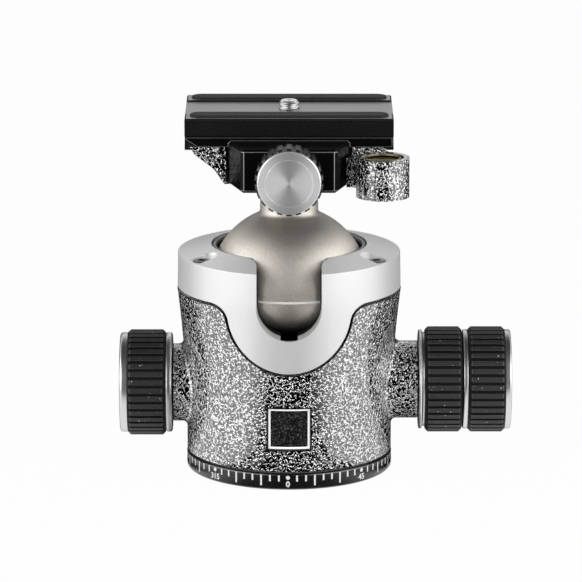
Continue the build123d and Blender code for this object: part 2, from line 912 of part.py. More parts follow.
lock_knob_core = disc_on_x(
    lock_axis, lock_grip_start, lock_grip_end, grip_bore - snug, lock_shaft_radius + snug
)
lock_knob_grip = ribbed_grip(
    Plane.YZ.offset(lock_grip_start),
    (0, lock_axis),
    lock_grip,
    grip_radius,
    grip_bore,
    grip_ribs,
    grip_groove_width,
    grip_groove_depth,
    grip_edge,
)
friction_screw = disc_on_x(
    lock_axis, -wedge_far - gap, right_cap_start, friction_screw_radius
)
friction_knob_ring = disc_on_x(
    lock_axis,
    middle_trim_start,
    friction_grip_start,
    trim_radius,
    friction_screw_radius + snug,
    fine_bevel,
)
friction_knob_core = disc_on_x(
    lock_axis,
    friction_grip_start,
    right_cap_start,
    grip_bore - snug,
    friction_screw_radius + snug,
)
friction_knob_grip = ribbed_grip(
    Plane.YZ.offset(friction_grip_start),
    (0, lock_axis),
    friction_grip,
    grip_radius,
    grip_bore,
    grip_ribs,
    grip_groove_width,
    grip_groove_depth,
    grip_edge,
)
with BuildPart() as friction_knob_cap:
    with BuildSketch(Plane.YZ.offset(right_cap_start)):
        with Locations((0, lock_axis)):
            Circle(trim_radius)
    extrude(amount=right_cap)
    fillet(
        friction_knob_cap.edges().filter_by(GeomType.CIRCLE).sort_by(Axis.X)[-1],
        right_cap_round,
    )

# ---- Ball and neck ----

with BuildPart() as ball:
    with Locations((0, 0, ball_height)):
        Sphere(ball_radius)
    with BuildSketch(Plane.XY.offset(ball_height)):
        Circle(neck_radius)
    extrude(amount=neck_top - ball_height)
    neck_root = ball.edges().filter_by(GeomType.CIRCLE).filter_by_position(
        Axis.Z, ball_height + neck_radius, neck_top - neck_blend
    )
    fillet(neck_root, neck_blend)
    with BuildSketch(Plane.XY.offset(neck_top)):
        Circle(bolt_radius + snug)
    extrude(amount=-(neck_top - bolt_tip + gap), mode=Mode.SUBTRACT)

neck_shim = flat_ring(
    neck_top + slip / 2, clamp_bottom - neck_top - slip, shim_radius, bolt_radius + running
)

# ---- Clamp casting with the level's ear ----

with BuildPart() as clamp_body:
    with BuildSketch(Plane.XZ.offset(-pad_half_depth)) as casting:
        with BuildLine():
            Polyline(
                (0, clamp_bottom),
                (casting_foot_half, clamp_bottom),
                (casting_waist_half, waist_height),
                (wing_half - wing_root_step, wing_root_height),
                (wing_half, clamp_top),
                (0, clamp_top),
            )
            mirror(about=Plane.YZ)
        make_face()
        fillet([v for v in casting.vertices() if abs(v.Y - waist_height) < slip], waist_round)
        fillet([v for v in casting.vertices() if abs(v.Y - clamp_bottom) < slip], foot_round)
        fillet([v for v in casting.vertices() if abs(v.Y - wing_root_height) < slip], wing_round)
    extrude(amount=2 * pad_half_depth)
    with BuildSketch(Plane.XY.offset(channel_floor)):
        Rectangle(beyond, 2 * clamp_half_depth)
    extrude(amount=clamp_top - channel_floor, mode=Mode.SUBTRACT)
    with BuildSketch(Plane.XY.offset(clamp_bottom)):
        with Locations((0, -clamp_half_depth), (0, clamp_half_depth + beyond)):
            Rectangle(2 * (block_back_half + gap), beyond, align=(Align.CENTER, Align.MAX))
    extrude(amount=clamp_top - clamp_bottom, mode=Mode.SUBTRACT)
    with BuildSketch(Plane.XY.offset(ear_bottom)):
        with Locations((ear_x, ear_y)):
            Circle(ear_radius)
    extrude(amount=ear_top - ear_bottom)
    with BuildSketch(Plane.XY.offset(clamp_bottom + web_margin)) as web:
        Polygon(
            (block_back_half + gap, web_root - clamp_half_depth),
            (block_back_half + gap, -clamp_half_depth - jaw_travel),
            (web_x, -clamp_half_depth - web_reach),
            (ear_x, -clamp_half_depth - web_reach),
            (ear_x + ear_radius - slip, ear_y + web_back_step),
            (wing_half - wing_root_step, web_root - clamp_half_depth),
            align=None,
        )
        with Locations((ear_x, ear_y)):
            Circle(ear_radius)
        fillet(
            [v for v in web.vertices() if web_x + slip < v.X < ear_x and v.Y < web_reach + ear_y],
            web_round,
        )
    extrude(amount=ear_top - clamp_bottom - 2 * web_margin)
    with BuildSketch(Plane.XY.offset(channel_floor)):
        with Locations((-stop_groove_start, 0)):
            Rectangle(beyond, 2 * (stop_radius + gap), align=(Align.MAX, Align.CENTER))
        with Locations((stop_groove_start, 0)):
            Rectangle(beyond, 2 * (stop_radius + gap), align=(Align.MIN, Align.CENTER))
    extrude(amount=-stop_groove_depth, mode=Mode.SUBTRACT)
    with BuildSketch(Plane.XY.offset(ear_top)):
        with Locations((ear_x, ear_y)):
            Circle(vial_ring_radius + snug)
    extrude(amount=vial_floor - ear_top, mode=Mode.SUBTRACT)
    with BuildSketch(Plane.XY.offset(clamp_bottom)):
        Circle(bolt_radius + snug)
    extrude(amount=channel_floor - clamp_bottom, mode=Mode.SUBTRACT)
    with BuildSketch(Plane.XY.offset(channel_floor)):
        Circle(bolt_head_radius + slip)
    extrude(amount=-bolt_head_height - slip, mode=Mode.SUBTRACT)
    with BuildSketch(Plane.XZ.offset(clamp_half_depth)):
        with Locations((0, screw_axis)):
            Circle(clamp_screw_radius + running)
        with Locations((-guide_offset, screw_axis), (guide_offset, screw_axis)):
            Circle(guide_radius + snug)
    extrude(amount=-(clamp_half_depth - clamp_screw_end + gap), mode=Mode.SUBTRACT)
    with BuildSketch(Plane.XZ.offset(clamp_half_depth)):
        with Locations((0, screw_axis)):
            Circle(spring_radius + slip)
    extrude(amount=-spring_space, mode=Mode.SUBTRACT)
    with BuildSketch(Plane.XZ.offset(-clamp_half_depth)):
        with Locations((-guide_offset, screw_axis), (guide_offset, screw_axis)):
            Circle(guide_radius + snug)
    extrude(amount=rear_screw_length, mode=Mode.SUBTRACT)

with BuildPart() as clamp_bolt:
    with BuildSketch(Plane.XY.offset(channel_floor - bolt_head_height)):
        Circle(bolt_head_radius)
    extrude(amount=bolt_head_height - bolt_sink)
    with BuildSketch(Plane.XY.offset(channel_floor - bolt_sink)):
        RegularPolygon(bolt_socket_radius, 6)
    extrude(amount=-bolt_socket_depth, mode=Mode.SUBTRACT)
    with BuildSketch(Plane.XY.offset(channel_floor - bolt_head_height)):
        Circle(bolt_radius)
    extrude(amount=-(channel_floor - bolt_head_height - bolt_tip))

with BuildPart() as level_ring:
    with BuildSketch(Plane.XY.offset(vial_floor)):
        with Locations((ear_x, ear_y)):
            Circle(vial_ring_radius)
            Circle(vial_radius + snug, mode=Mode.SUBTRACT)
    extrude(amount=ear_top - vial_sink - vial_floor)

with BuildPart() as level_vial:
    with BuildSketch(Plane.XY.offset(vial_floor)):
        with Locations((ear_x, ear_y)):
            Circle(vial_radius)
    extrude(amount=ear_top - vial_sink - vial_floor - vial_dip)

# ---- Plate with its strips and camera screw ----


def strip_sketch(height, grow):
    """The two long round-ended strips along the plate."""
    with BuildSketch(Plane.XY.offset(height)) as outline:
        with Locations((0, -strip_offset), (0, strip_offset)):
            SlotOverall(strip_length + 2 * grow, strip_width + 2 * grow)
    return outline.sketch


strip_seats = strip_sketch(plate_top - strip_sink, snug)
strip_shapes = strip_sketch(plate_top - strip_sink, 0)

with BuildPart() as plate:
    with BuildSketch(Plane.YZ.offset(-plate_length / 2)) as section:
        with BuildLine():
            Polyline(
                (0, plate_bottom),
                (flange_half, plate_bottom),
                (flange_half, groove_height - (flange_half - groove_half)),
                (groove_half, groove_height),
                (groove_half + (deck_bottom - groove_height), deck_bottom),
                (plate_half_depth, deck_bottom),
                (plate_half_depth, plate_top),
                (0, plate_top),
            )
            mirror(about=Plane.YZ)
        make_face()
    extrude(amount=plate_length)
    chamfer(plate.edges().group_by(Axis.Z)[-1], plate_bevel)
    with BuildSketch(Plane.XY.offset(plate_top)):
        Rectangle(beyond, 2 * centre_channel_half)
    extrude(amount=-centre_channel_depth, mode=Mode.SUBTRACT)
    extrude(strip_seats, amount=2 * strip_sink, mode=Mode.SUBTRACT)
    with BuildSketch(Plane.XY.offset(plate_top)):
        Circle(camera_thread_radius + slip)
    extrude(amount=plate_bottom - plate_top, mode=Mode.SUBTRACT)
    with BuildSketch(Plane.XY.offset(plate_bottom)):
        Circle(camera_head_radius + gap)
    extrude(amount=clip_bottom - plate_bottom, mode=Mode.SUBTRACT)
    with BuildSketch(Plane.XY.offset(clip_bottom)):
        Circle(clip_radius + snug)
    extrude(amount=clip_thickness, mode=Mode.SUBTRACT)
    with BuildSketch(Plane.XY.offset(plate_bottom)):
        with Locations((-stop_offset, 0), (stop_offset, 0)):
            Circle(stop_radius + snug)
    extrude(amount=stop_length, mode=Mode.SUBTRACT)

with BuildPart() as plate_strips:
    extrude(strip_shapes, amount=strip_sink + strip_height)
    chamfer(plate_strips.edges().group_by(Axis.Z)[-1], strip_bevel)

with BuildPart() as camera_screw:
    with BuildSketch(Plane.XY.offset(camera_head_bottom)):
        Circle(camera_head_radius)
    extrude(amount=camera_head_height)
    with BuildSketch(Plane.XY.offset(camera_head_bottom)):
        Rectangle(beyond, camera_slot_width)
    extrude(amount=camera_slot_depth, mode=Mode.SUBTRACT)
    with BuildSketch(Plane.XY.offset(camera_head_top)):
        Circle(camera_neck_radius)
    extrude(amount=camera_thread_start - camera_head_top)
    with BuildSketch(Plane.XY.offset(camera_thread_start)):
        Circle(camera_thread_radius)
    extrude(amount=camera_screw_top - camera_thread_start)
    tip = camera_screw.edges().filter_by(GeomType.CIRCLE).sort_by(Axis.Z)[-1]
    chamfer(tip, camera_tip_bevel)
    with BuildSketch(Plane.XY.offset(camera_screw_top)):
        Circle(camera_dimple_radius)
    extrude(amount=-camera_dimple_depth, mode=Mode.SUBTRACT)

screw_clip = flat_ring(
    clip_bottom, clip_thickness, clip_radius, camera_neck_radius + running
)

with BuildPart() as plate_stops:
    with BuildSketch(Plane.XY.offset(plate_bottom - stop_drop)):
        with Locations((-stop_offset, 0), (stop_offset, 0)):
            Circle(stop_radius)
    extrude(amount=stop_drop + stop_length - slip)

# ---- Jaws ----


def blade_section(side):
    """Section of a dovetail blade, in Y and Z; side is -1 at the front and 1 at the back."""
    lean = math.sqrt(2) * blade_play
    upper_line = groove_half + (deck_bottom - groove_height) - deck_bottom + lean
    lower_line = groove_half + groove_height + lean
    return [
        (side * blade_front, blade_bottom),
        (side * blade_front, blade_top),
        (side * (blade_top + upper_line), blade_top),
        (side * blade_tip, blade_tip - upper_line),
        (side * blade_tip, lower_line - blade_tip),
        (side * (lower_line - blade_bottom), blade_bottom),
    ]


with BuildPart() as jaw:
    with BuildSketch(Plane.XY.offset(block_bottom)):
        Polygon(
            (-block_back_half, -clamp_half_depth - slip),
            (-block_front_half, -block_front),
            (block_front_half, -block_front),
            (block_back_half, -clamp_half_depth - slip),
            align=None,
        )
    extrude(amount=block_top - block_bottom)
    block_edges = [e for e in jaw.edges() if e.center().Y < -clamp_half_depth - block_bevel]
    chamfer(block_edges, block_bevel)
    with BuildSketch(Plane.YZ.offset(-blade_length / 2)):
        Polygon(*blade_section(-1), align=None)
    extrude(amount=blade_length)
    with BuildSketch(Plane.XZ):
        Polygon(
            (-beyond, blade_bottom),
            (-beyond, blade_bottom + blade_cut_height),
            (-blade_length / 2, blade_bottom + blade_cut_height),
            (-blade_length / 2 + blade_cut_length, blade_bottom),
            align=None,
        )
    extrude(amount=beyond, mode=Mode.SUBTRACT)
    with BuildSketch(Plane.XZ.offset(clamp_half_depth)):
        with Locations((0, screw_axis)):
            Circle(clamp_screw_radius + running)
    extrude(amount=beyond, mode=Mode.SUBTRACT)
    with BuildSketch(Plane.XZ.offset(clamp_half_depth)):
        with Locations((-guide_offset, screw_axis), (guide_offset, screw_axis)):
            Circle(guide_radius + running)
    extrude(amount=guide_end + gap - clamp_half_depth, mode=Mode.SUBTRACT)

with BuildPart() as rear_jaw:
    with BuildSketch(Plane.XY.offset(block_bottom + rear_block_lift)):
        Polygon(
            (-block_back_half, clamp_half_depth),
            (-block_back_half + rear_block_taper, clamp_half_depth + rear_block_depth),
            (block_back_half - rear_block_taper, clamp_half_depth + rear_block_depth),
            (block_back_half, clamp_half_depth),
            align=None,
        )
    extrude(amount=block_height - rear_block_lift)
    rear_edges = [e for e in rear_jaw.edges() if e.center().Y > clamp_half_depth + block_bevel]
    chamfer(rear_edges, block_bevel)
    with BuildSketch(Plane.YZ.offset(-blade_length / 2)):
        Polygon(*blade_section(1), align=None)
    extrude(amount=blade_length)
    with BuildSketch(Plane.XZ.offset(-clamp_half_depth)):
        with Locations((-guide_offset, screw_axis), (guide_offset, screw_axis)):
            Circle(guide_radius + snug)
    extrude(amount=-beyond, mode=Mode.SUBTRACT)
    with BuildSketch(Plane.XZ.offset(-clamp_half_depth - rear_block_depth)):
        with Locations((-guide_offset, screw_axis), (guide_offset, screw_axis)):
            Circle(rear_head_radius + slip)
    extrude(amount=rear_head_height, mode=Mode.SUBTRACT)

with BuildPart() as rear_jaw_screws:
    with BuildSketch(Plane.XZ.offset(-clamp_half_depth - rear_block_depth)):
        with Locations((-guide_offset, screw_axis), (guide_offset, screw_axis)):
            Circle(rear_head_radius)
    extrude(amount=rear_head_height)
    with BuildSketch(Plane.XZ.offset(-clamp_half_depth - rear_block_depth)):
        with Locations((-guide_offset, screw_axis), (guide_offset, screw_axis)):
            RegularPolygon(rear_socket_radius, 6)
    extrude(amount=rear_socket_depth, mode=Mode.SUBTRACT)
    with BuildSketch(Plane.XZ.offset(-clamp_half_depth - rear_block_depth + rear_head_height)):
        with Locations((-guide_offset, screw_axis), (guide_offset, screw_axis)):
            Circle(guide_radius)
    extrude(amount=rear_block_depth - rear_head_height + rear_screw_length - gap)

with BuildPart() as guide_pins:
    with BuildSketch(Plane.XZ.offset(clamp_screw_end + slip)):
        with Locations((-guide_offset, screw_axis), (guide_offset, screw_axis)):
            Circle(guide_radius)
    extrude(amount=guide_end - clamp_screw_end - slip)

with BuildPart() as jaw_spring:
    with BuildLine() as coil:
        Helix(
            (spring_space - 2 * spring_wire) / spring_turns,
            spring_space - 2 * spring_wire,
            spring_radius - spring_wire / 2,
            center=(0, -clamp_half_depth + spring_space - spring_wire, screw_axis),
            direction=(0, -1, 0),
        )
    with BuildSketch(Plane(origin=coil.line @ 0, z_dir=coil.line % 0)):
        Circle(spring_wire / 2)
    sweep(path=coil.line, is_frenet=True)

# ---- Clamp knob ----


def disc_on_y(back, front, radius, bore=0.0, bevel=0.0):
    """A round piece about the clamp screw; back and front are distances towards the front."""
    with BuildPart() as piece:
        with BuildSketch(Plane.XZ.offset(back)):
            with Locations((0, screw_axis)):
                Circle(radius)
        extrude(amount=front - back)
        if bevel:
            chamfer(piece.edges().filter_by(GeomType.CIRCLE), bevel)
        if bore:
            with BuildSketch(Plane.XZ.offset(back)):
                with Locations((0, screw_axis)):
                    Circle(bore)
            extrude(amount=front - back, mode=Mode.SUBTRACT)
    return piece


clamp_screw = disc_on_y(clamp_screw_end, clamp_knob_front, clamp_screw_radius)
clamp_knob_core = disc_on_y(
    block_front + gap, clamp_knob_front, clamp_rim_bore - snug, clamp_screw_radius + snug
)
clamp_knob_rim = ribbed_grip(
    Plane.XZ.offset(clamp_knob_back),
    (0, screw_axis),
    clamp_knob_front - clamp_knob_back,
    clamp_rim_radius,
    clamp_rim_bore,
    clamp_rim_ribs,
    clamp_rim_groove_width,
    clamp_rim_groove_depth,
    clamp_rim_edge,
)
with BuildPart() as clamp_knob_cap:
    add(disc_on_y(clamp_knob_front, clamp_cap_front, clamp_cap_radius, 0, clamp_cap_edge).part)
    with BuildSketch(Plane.XZ.offset(clamp_cap_front)):
        with Locations((0, screw_axis)):
            Circle(clamp_cap_groove + clamp_cap_groove_width)
            Circle(clamp_cap_groove, mode=Mode.SUBTRACT)
    extrude(amount=-clamp_cap_groove_width, mode=Mode.SUBTRACT)

pieces = {
    "base_disc": base_disc,
    "pan_washer": pan_washer,
    "pan_upper_washer": pan_upper_washer,
    "brake_drum": brake_drum,
    "housing": housing,
    "floor_plate": floor_plate,
    "floor_screws": floor_screws,
    "label_plate": label_plate,
    "label_frame": label_frame,
    "collar": collar,
    "collar_screws": collar_screws,
    "ball_cradle": ball_cradle,
    "friction_ring": friction_ring,
    "side_pad": side_pad,
    "lock_cup": lock_cup,
    "lock_wedge": lock_wedge_block,
    "friction_wedge": friction_wedge_block,
    "pan_bush": pan_bush,
    "pan_shaft": pan_shaft,
    "pan_shoe": pan_shoe,
    "pan_knob_ring": pan_knob_ring,
    "pan_knob_core": pan_knob_core,
    "pan_knob_grip": pan_knob_grip,
    "pan_knob_cap": pan_knob_cap,
    "lock_bush": lock_bush,
    "lock_shaft": lock_shaft,
    "lock_knob_ring": lock_knob_ring,
    "lock_knob_core": lock_knob_core,
    "lock_knob_grip": lock_knob_grip,
    "friction_screw": friction_screw,
    "friction_knob_ring": friction_knob_ring,
    "friction_knob_core": friction_knob_core,
    "friction_knob_grip": friction_knob_grip,
    "friction_knob_cap": friction_knob_cap,
    "ball": ball,
    "neck_shim": neck_shim,
    "clamp_body": clamp_body,
    "clamp_bolt": clamp_bolt,
    "level_ring": level_ring,
    "level_vial": level_vial,
    "plate": plate,
    "plate_strips": plate_strips,
    "camera_screw": camera_screw,
    "plate_stops": plate_stops,
    "screw_clip": screw_clip,
    "jaw": jaw,
    "rear_jaw": rear_jaw,
    "rear_jaw_screws": rear_jaw_screws,
    "guide_pins": guide_pins,
    "jaw_spring": jaw_spring,
    "clamp_screw": clamp_screw,
    "clamp_knob_core": clamp_knob_core,
    "clamp_knob_rim": clamp_knob_rim,
    "clamp_knob_cap": clamp_knob_cap,
}

os.makedirs("parts", exist_ok=True)
for name, piece in pieces.items():
    piece.part.label = name
    export_step(piece.part, f"parts/{name}.step")
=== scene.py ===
"""Looks of a tripod ball head with a dovetail clamp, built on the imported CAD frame. Metres."""

import json
import math

import bmesh
import bpy
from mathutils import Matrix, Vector

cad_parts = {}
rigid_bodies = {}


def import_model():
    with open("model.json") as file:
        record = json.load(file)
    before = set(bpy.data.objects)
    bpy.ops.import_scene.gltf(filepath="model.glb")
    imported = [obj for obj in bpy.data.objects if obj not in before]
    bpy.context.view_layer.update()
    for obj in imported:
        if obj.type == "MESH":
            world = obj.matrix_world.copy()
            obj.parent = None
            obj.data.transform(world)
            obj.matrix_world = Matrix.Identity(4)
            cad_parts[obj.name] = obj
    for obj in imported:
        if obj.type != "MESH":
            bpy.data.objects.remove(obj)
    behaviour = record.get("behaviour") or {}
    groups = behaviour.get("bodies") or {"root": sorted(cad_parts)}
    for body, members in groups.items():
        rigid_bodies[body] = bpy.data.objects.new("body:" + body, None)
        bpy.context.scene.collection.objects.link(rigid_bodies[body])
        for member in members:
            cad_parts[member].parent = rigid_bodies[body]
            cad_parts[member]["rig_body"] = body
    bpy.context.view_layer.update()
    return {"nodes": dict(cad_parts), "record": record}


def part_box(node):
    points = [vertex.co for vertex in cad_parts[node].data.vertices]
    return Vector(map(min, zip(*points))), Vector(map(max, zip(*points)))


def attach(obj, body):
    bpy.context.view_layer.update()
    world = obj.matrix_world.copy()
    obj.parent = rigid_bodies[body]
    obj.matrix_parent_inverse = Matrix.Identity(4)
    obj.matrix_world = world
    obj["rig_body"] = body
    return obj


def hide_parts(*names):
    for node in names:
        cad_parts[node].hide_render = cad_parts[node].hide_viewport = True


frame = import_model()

nodes = frame["nodes"]
record = frame["record"]
mm = 0.001

# ---------------------------------------------------------------- places on the head

base_radius = 33.0 * mm
label_height = 19.8 * mm
label_half = 6.6 * mm
label_front = -25.0 * mm
pan_axis = 26.9 * mm
lock_axis = 27.9 * mm
grip_radius = 17.0 * mm
ball_line_height = 59.2 * mm
liner_lip_height = 72.1 * mm
ear_top = 107.25 * mm
vial_x, vial_y = 29.3 * mm, -30.0 * mm
strip_top = 118.05 * mm

# ---------------------------------------------------------------- camera

view_distance = 1.4284
view_drop = math.radians(13.51)
aim = Vector((0.0006, 0.0, 0.05707))
sensor = 36.0
focal_pixels = 4444.49
frame_pixels = 582
nearest = 0.05


def make_camera():
    """The camera stands in front of the head and looks down on it a little."""
    data = bpy.data.cameras.new("camera")
    data.sensor_width = sensor
    data.lens = focal_pixels * sensor / frame_pixels
    data.clip_start = nearest
    camera = bpy.data.objects.new("camera", data)
    camera.location = aim + view_distance * Vector((0, -math.cos(view_drop), math.sin(view_drop)))
    camera.rotation_euler = (math.pi / 2 - view_drop, 0, 0)
    bpy.context.collection.objects.link(camera)
    bpy.context.scene.camera = camera
    bpy.context.scene.view_settings.view_transform = "Standard"


# ---------------------------------------------------------------- shader helpers


def start(name):
    """A new material: its node tree and its Principled shader."""
    material = bpy.data.materials.new(name)
    material.use_nodes = True
    tree = material.node_tree
    return material, tree, tree.nodes["Principled BSDF"]


def plug(tree, socket, value):
    """Sets a socket to a number or colour, or links it to another node's output."""
    if isinstance(value, bpy.types.NodeSocket):
        tree.links.new(value, socket)
    else:
        socket.default_value = value


def add(tree, kind, inputs=None, **settings):
    """One shader node with its settings made and its inputs plugged."""
    node = tree.nodes.new("ShaderNode" + kind)
    for name, value in settings.items():
        setattr(node, name, value)
    for key, value in (inputs or {}).items():
        plug(tree, node.inputs[key], value)
    return node


def coat(tree, shader, colour, roughness, normal=None):
    """Gives the shader its colour, its roughness and, where there is one, its bump."""
    plug(tree, shader.inputs["Base Color"], colour)
    plug(tree, shader.inputs["Roughness"], roughness)
    if normal is not None:
        plug(tree, shader.inputs["Normal"], normal)


def grey(tone):
    """An opaque grey."""
    return (tone, tone, tone, 1)


def scaled(colour, share):
    """A colour made darker or lighter by a share, with no channel above 1."""
    return (*(min(channel * share, 1.0) for channel in colour), 1)


def place(tree, scale=(1, 1, 1)):
    """The piece's own coordinates in metres, stretched by scale."""
    coords = add(tree, "TexCoord").outputs["Object"]
    return add(tree, "Mapping", {"Vector": coords, "Scale": scale}).outputs["Vector"]


def along(tree, axis):
    """One coordinate of the piece's own place, in metres."""
    coords = add(tree, "TexCoord").outputs["Object"]
    return add(tree, "SeparateXYZ", {"Vector": coords}).outputs[axis]


def noise(tree, vector, cells, detail=2.0, roughness=0.5):
    """A noise value near 0.5, with so many cells per metre."""
    return add(tree, "TexNoise", {"Vector": vector, "Scale": cells, "Detail": detail,
                                  "Roughness": roughness}).outputs["Fac"]


def calc(tree, operation, first, second=0.0, clamp=False):
    """A Math node's value."""
    return add(tree, "Math", {0: first, 1: second}, operation=operation, use_clamp=clamp).outputs[0]


def times(tree, first, second):
    """The product of two values."""
    return calc(tree, "MULTIPLY", first, second)


def share_of(tree, first, share, second):
    """A sum in which first has the given share and second the rest."""
    return calc(tree, "ADD", times(tree, first, share), times(tree, second, 1 - share))


def length_of(tree, first, second):
    """The length of a pair of offsets at right angles."""
    return calc(tree, "SQRT", calc(tree, "ADD", times(tree, first, first), times(tree, second, second)))


def gap_to(tree, value, target):
    """How far a value is from a target, without its sign."""
    return calc(tree, "ABSOLUTE", calc(tree, "SUBTRACT", value, target))


def shifted(tree, operation, first, second):
    """A vector that Vector Math makes of two others."""
    return add(tree, "VectorMath", {0: first, 1: second}, operation=operation).outputs[0]


def span(tree, value, low, high, to_low=0.0, to_high=1.0):
    """Maps low..high to to_low..to_high, clamped and smooth at both ends."""
    return add(tree, "MapRange", {"Value": value, "From Min": low, "From Max": high,
                                  "To Min": to_low, "To Max": to_high},
               interpolation_type="SMOOTHSTEP").outputs["Result"]


def uneven(tree, grain, smoothest, roughest):
    """A roughness that follows a grain."""
    return span(tree, grain, 0.3, 0.7, smoothest, roughest)


def blend(tree, factor, first, second):
    """Mixes two colours."""
    node = add(tree, "Mix", data_type="RGBA")
    plug(tree, node.inputs["Factor"], factor)
    plug(tree, node.inputs[6], first)
    plug(tree, node.inputs[7], second)
    return node.outputs[2]


def raise_by(tree, height, depth):
    """A bump of the given depth in metres."""
    return add(tree, "Bump", {"Height": height, "Distance": depth}).outputs["Normal"]


# ---------------------------------------------------------------- paint and metals


def painted_label_shade(tree):
    """1 close round the label's frame on the front of the housing, 0 elsewhere: the band of painted shade
    for the label's recess.
    """
    side = calc(tree, "ABSOLUTE", along(tree, "X"))
    rise = gap_to(tree, along(tree, "Z"), label_height)
    farther = calc(tree, "MAXIMUM", side, rise)
    square = span(tree, farther, label_half + 0.75 * mm, label_half + 0.45 * mm)
    return times(tree, square, span(tree, along(tree, "Y"), label_front + 5 * mm, label_front))


def hammertone(name):
    """Black wrinkle paint with domed silver veins, and painted shade round the label: a near-black band
    without veins for the shadow of its recess.
    """
    wander = 1.0 * mm
    dome_depth = 0.17 * mm
    material, tree, shader = start(name)
    where = place(tree)
    drift = add(tree, "TexNoise", {"Vector": where, "Scale": 1000.0, "Detail": 1.0}).outputs["Color"]
    drift = shifted(tree, "SUBTRACT", drift, (0.5, 0.5, 0.5))
    drift = add(tree, "VectorMath", {0: drift, "Scale": wander}, operation="SCALE").outputs[0]
    worms = noise(tree, shifted(tree, "ADD", where, drift), 1400.0, detail=0.3, roughness=0.4)
    # painted shade: round the label the paint loses its veins and turns near black, for the recess's shadow
    plain = painted_label_shade(tree)
    vein = calc(tree, "SUBTRACT", span(tree, worms, 0.480, 0.497), plain, clamp=True)
    silver = blend(tree, noise(tree, where, 2600.0, detail=1.0), grey(0.88), grey(1.0))
    black = blend(tree, plain, grey(0.23), grey(0.01))
    coat(tree, shader, blend(tree, vein, black, silver), span(tree, vein, 0.0, 1.0, 0.06, 0.20),
         raise_by(tree, span(tree, worms, 0.485, 0.66), dome_depth))
    shader.inputs["Metallic"].default_value = 1.0
    return material


def anodised(name, tone, roughness=0.32, index=1.5):
    """Black anodised aluminium with a fine blasted grain."""
    material, tree, shader = start(name)
    where = place(tree)
    grain = noise(tree, where, 5200.0)
    mottle = share_of(tree, grain, 0.6, noise(tree, where, 60.0))
    colour = blend(tree, mottle, grey(tone * 0.7), (tone * 1.3, tone * 1.3, tone * 1.32, 1))
    coat(tree, shader, colour, uneven(tree, grain, roughness - 0.05, roughness + 0.05),
         raise_by(tree, grain, 0.01 * mm))
    shader.inputs["IOR"].default_value = index
    return material


def blasted(name, tone, roughness, metal=1.0):
    """Grey aluminium, bead-blasted to a satin face."""
    material, tree, shader = start(name)
    where = place(tree)
    grain = noise(tree, where, 4200.0)
    mottle = share_of(tree, grain, 0.5, noise(tree, where, 45.0))
    colour = blend(tree, mottle, grey(tone * 0.95), grey(min(tone * 1.04, 1.0)))
    coat(tree, shader, colour, uneven(tree, grain, roughness - 0.04, roughness + 0.04),
         raise_by(tree, grain, 0.02 * mm))
    shader.inputs["Metallic"].default_value = metal
    return material


def turned(name, colour, axis, roughness, metal=1.0, brushed=0.0):
    """Bright metal turned on a lathe, with fine rings round the given axis."""
    material, tree, shader = start(name)
    stretch = [5200.0 if letter == axis else 24.0 for letter in "XYZ"]
    rings = noise(tree, place(tree, stretch), 1.0, detail=3.0)
    mottle = share_of(tree, rings, 0.7, noise(tree, place(tree), 120.0))
    coat(tree, shader, blend(tree, rings, scaled(colour, 0.9), scaled(colour, 1.06)),
         uneven(tree, mottle, roughness - 0.05, roughness + 0.06), raise_by(tree, rings, 0.01 * mm))
    shader.inputs["Metallic"].default_value = metal
    if brushed:
        shader.inputs["Anisotropic"].default_value = brushed
        shader.inputs["Anisotropic Rotation"].default_value = 0.25
        round_axis = add(tree, "Tangent", direction_type="RADIAL", axis=axis)
        plug(tree, shader.inputs["Tangent"], round_axis.outputs[0])
    return material


def champagne(name):
    """The ball's warm satin finish with a bright line round its middle, and painted shade: near black
    towards the foot, for the shade in the notch, and darker in a band round the neck, for the shade under
    the clamp.
    """
    material, tree, shader = start(name)
    where = place(tree)
    grain = noise(tree, where, 4600.0)
    fleck = span(tree, noise(tree, where, 2300.0, detail=3.0, roughness=0.7), 0.3, 0.7)
    colour = blend(tree, fleck, (0.74, 0.695, 0.625, 1), (0.90, 0.85, 0.785, 1))
    up = along(tree, "Z")
    # painted shade: the foot goes near black for the notch's shade, and a band round the neck darkens for
    # the clamp's shade
    foot = span(tree, up, 58.0 * mm, 48.5 * mm)
    painted_crown_shade = times(tree, span(tree, up, 74.0 * mm, 81.0 * mm), span(tree, up, 84.6 * mm, 82.8 * mm))
    line = span(tree, gap_to(tree, up, ball_line_height), 0.42 * mm, 0.28 * mm)
    colour = blend(tree, foot, colour, grey(0.01))
    colour = blend(tree, times(tree, painted_crown_shade, 0.62), colour, (0.16, 0.155, 0.15, 1))
    colour = blend(tree, line, colour, (0.95, 0.93, 0.90, 1))
    coat(tree, shader, colour, uneven(tree, grain, 0.47, 0.56), raise_by(tree, grain, 0.04 * mm))
    plug(tree, shader.inputs["Metallic"], calc(tree, "SUBTRACT", 1.0, line))
    return material


# ---------------------------------------------------------------- rubber, plastic, print and liquid


def groove_of(tree, axis_height):
    """1 on the floor of a grip's grooves and 0 on its ribs, for a knob at a height."""
    rise = calc(tree, "SUBTRACT", along(tree, "Z"), axis_height)
    reach = length_of(tree, rise, along(tree, "Y"))
    return span(tree, reach, grip_radius - 0.15 * mm, grip_radius - 0.45 * mm)


def rubber_grain(tree, where):
    """The close grain of moulded rubber."""
    return noise(tree, where, 3800.0, detail=3.0, roughness=0.6)


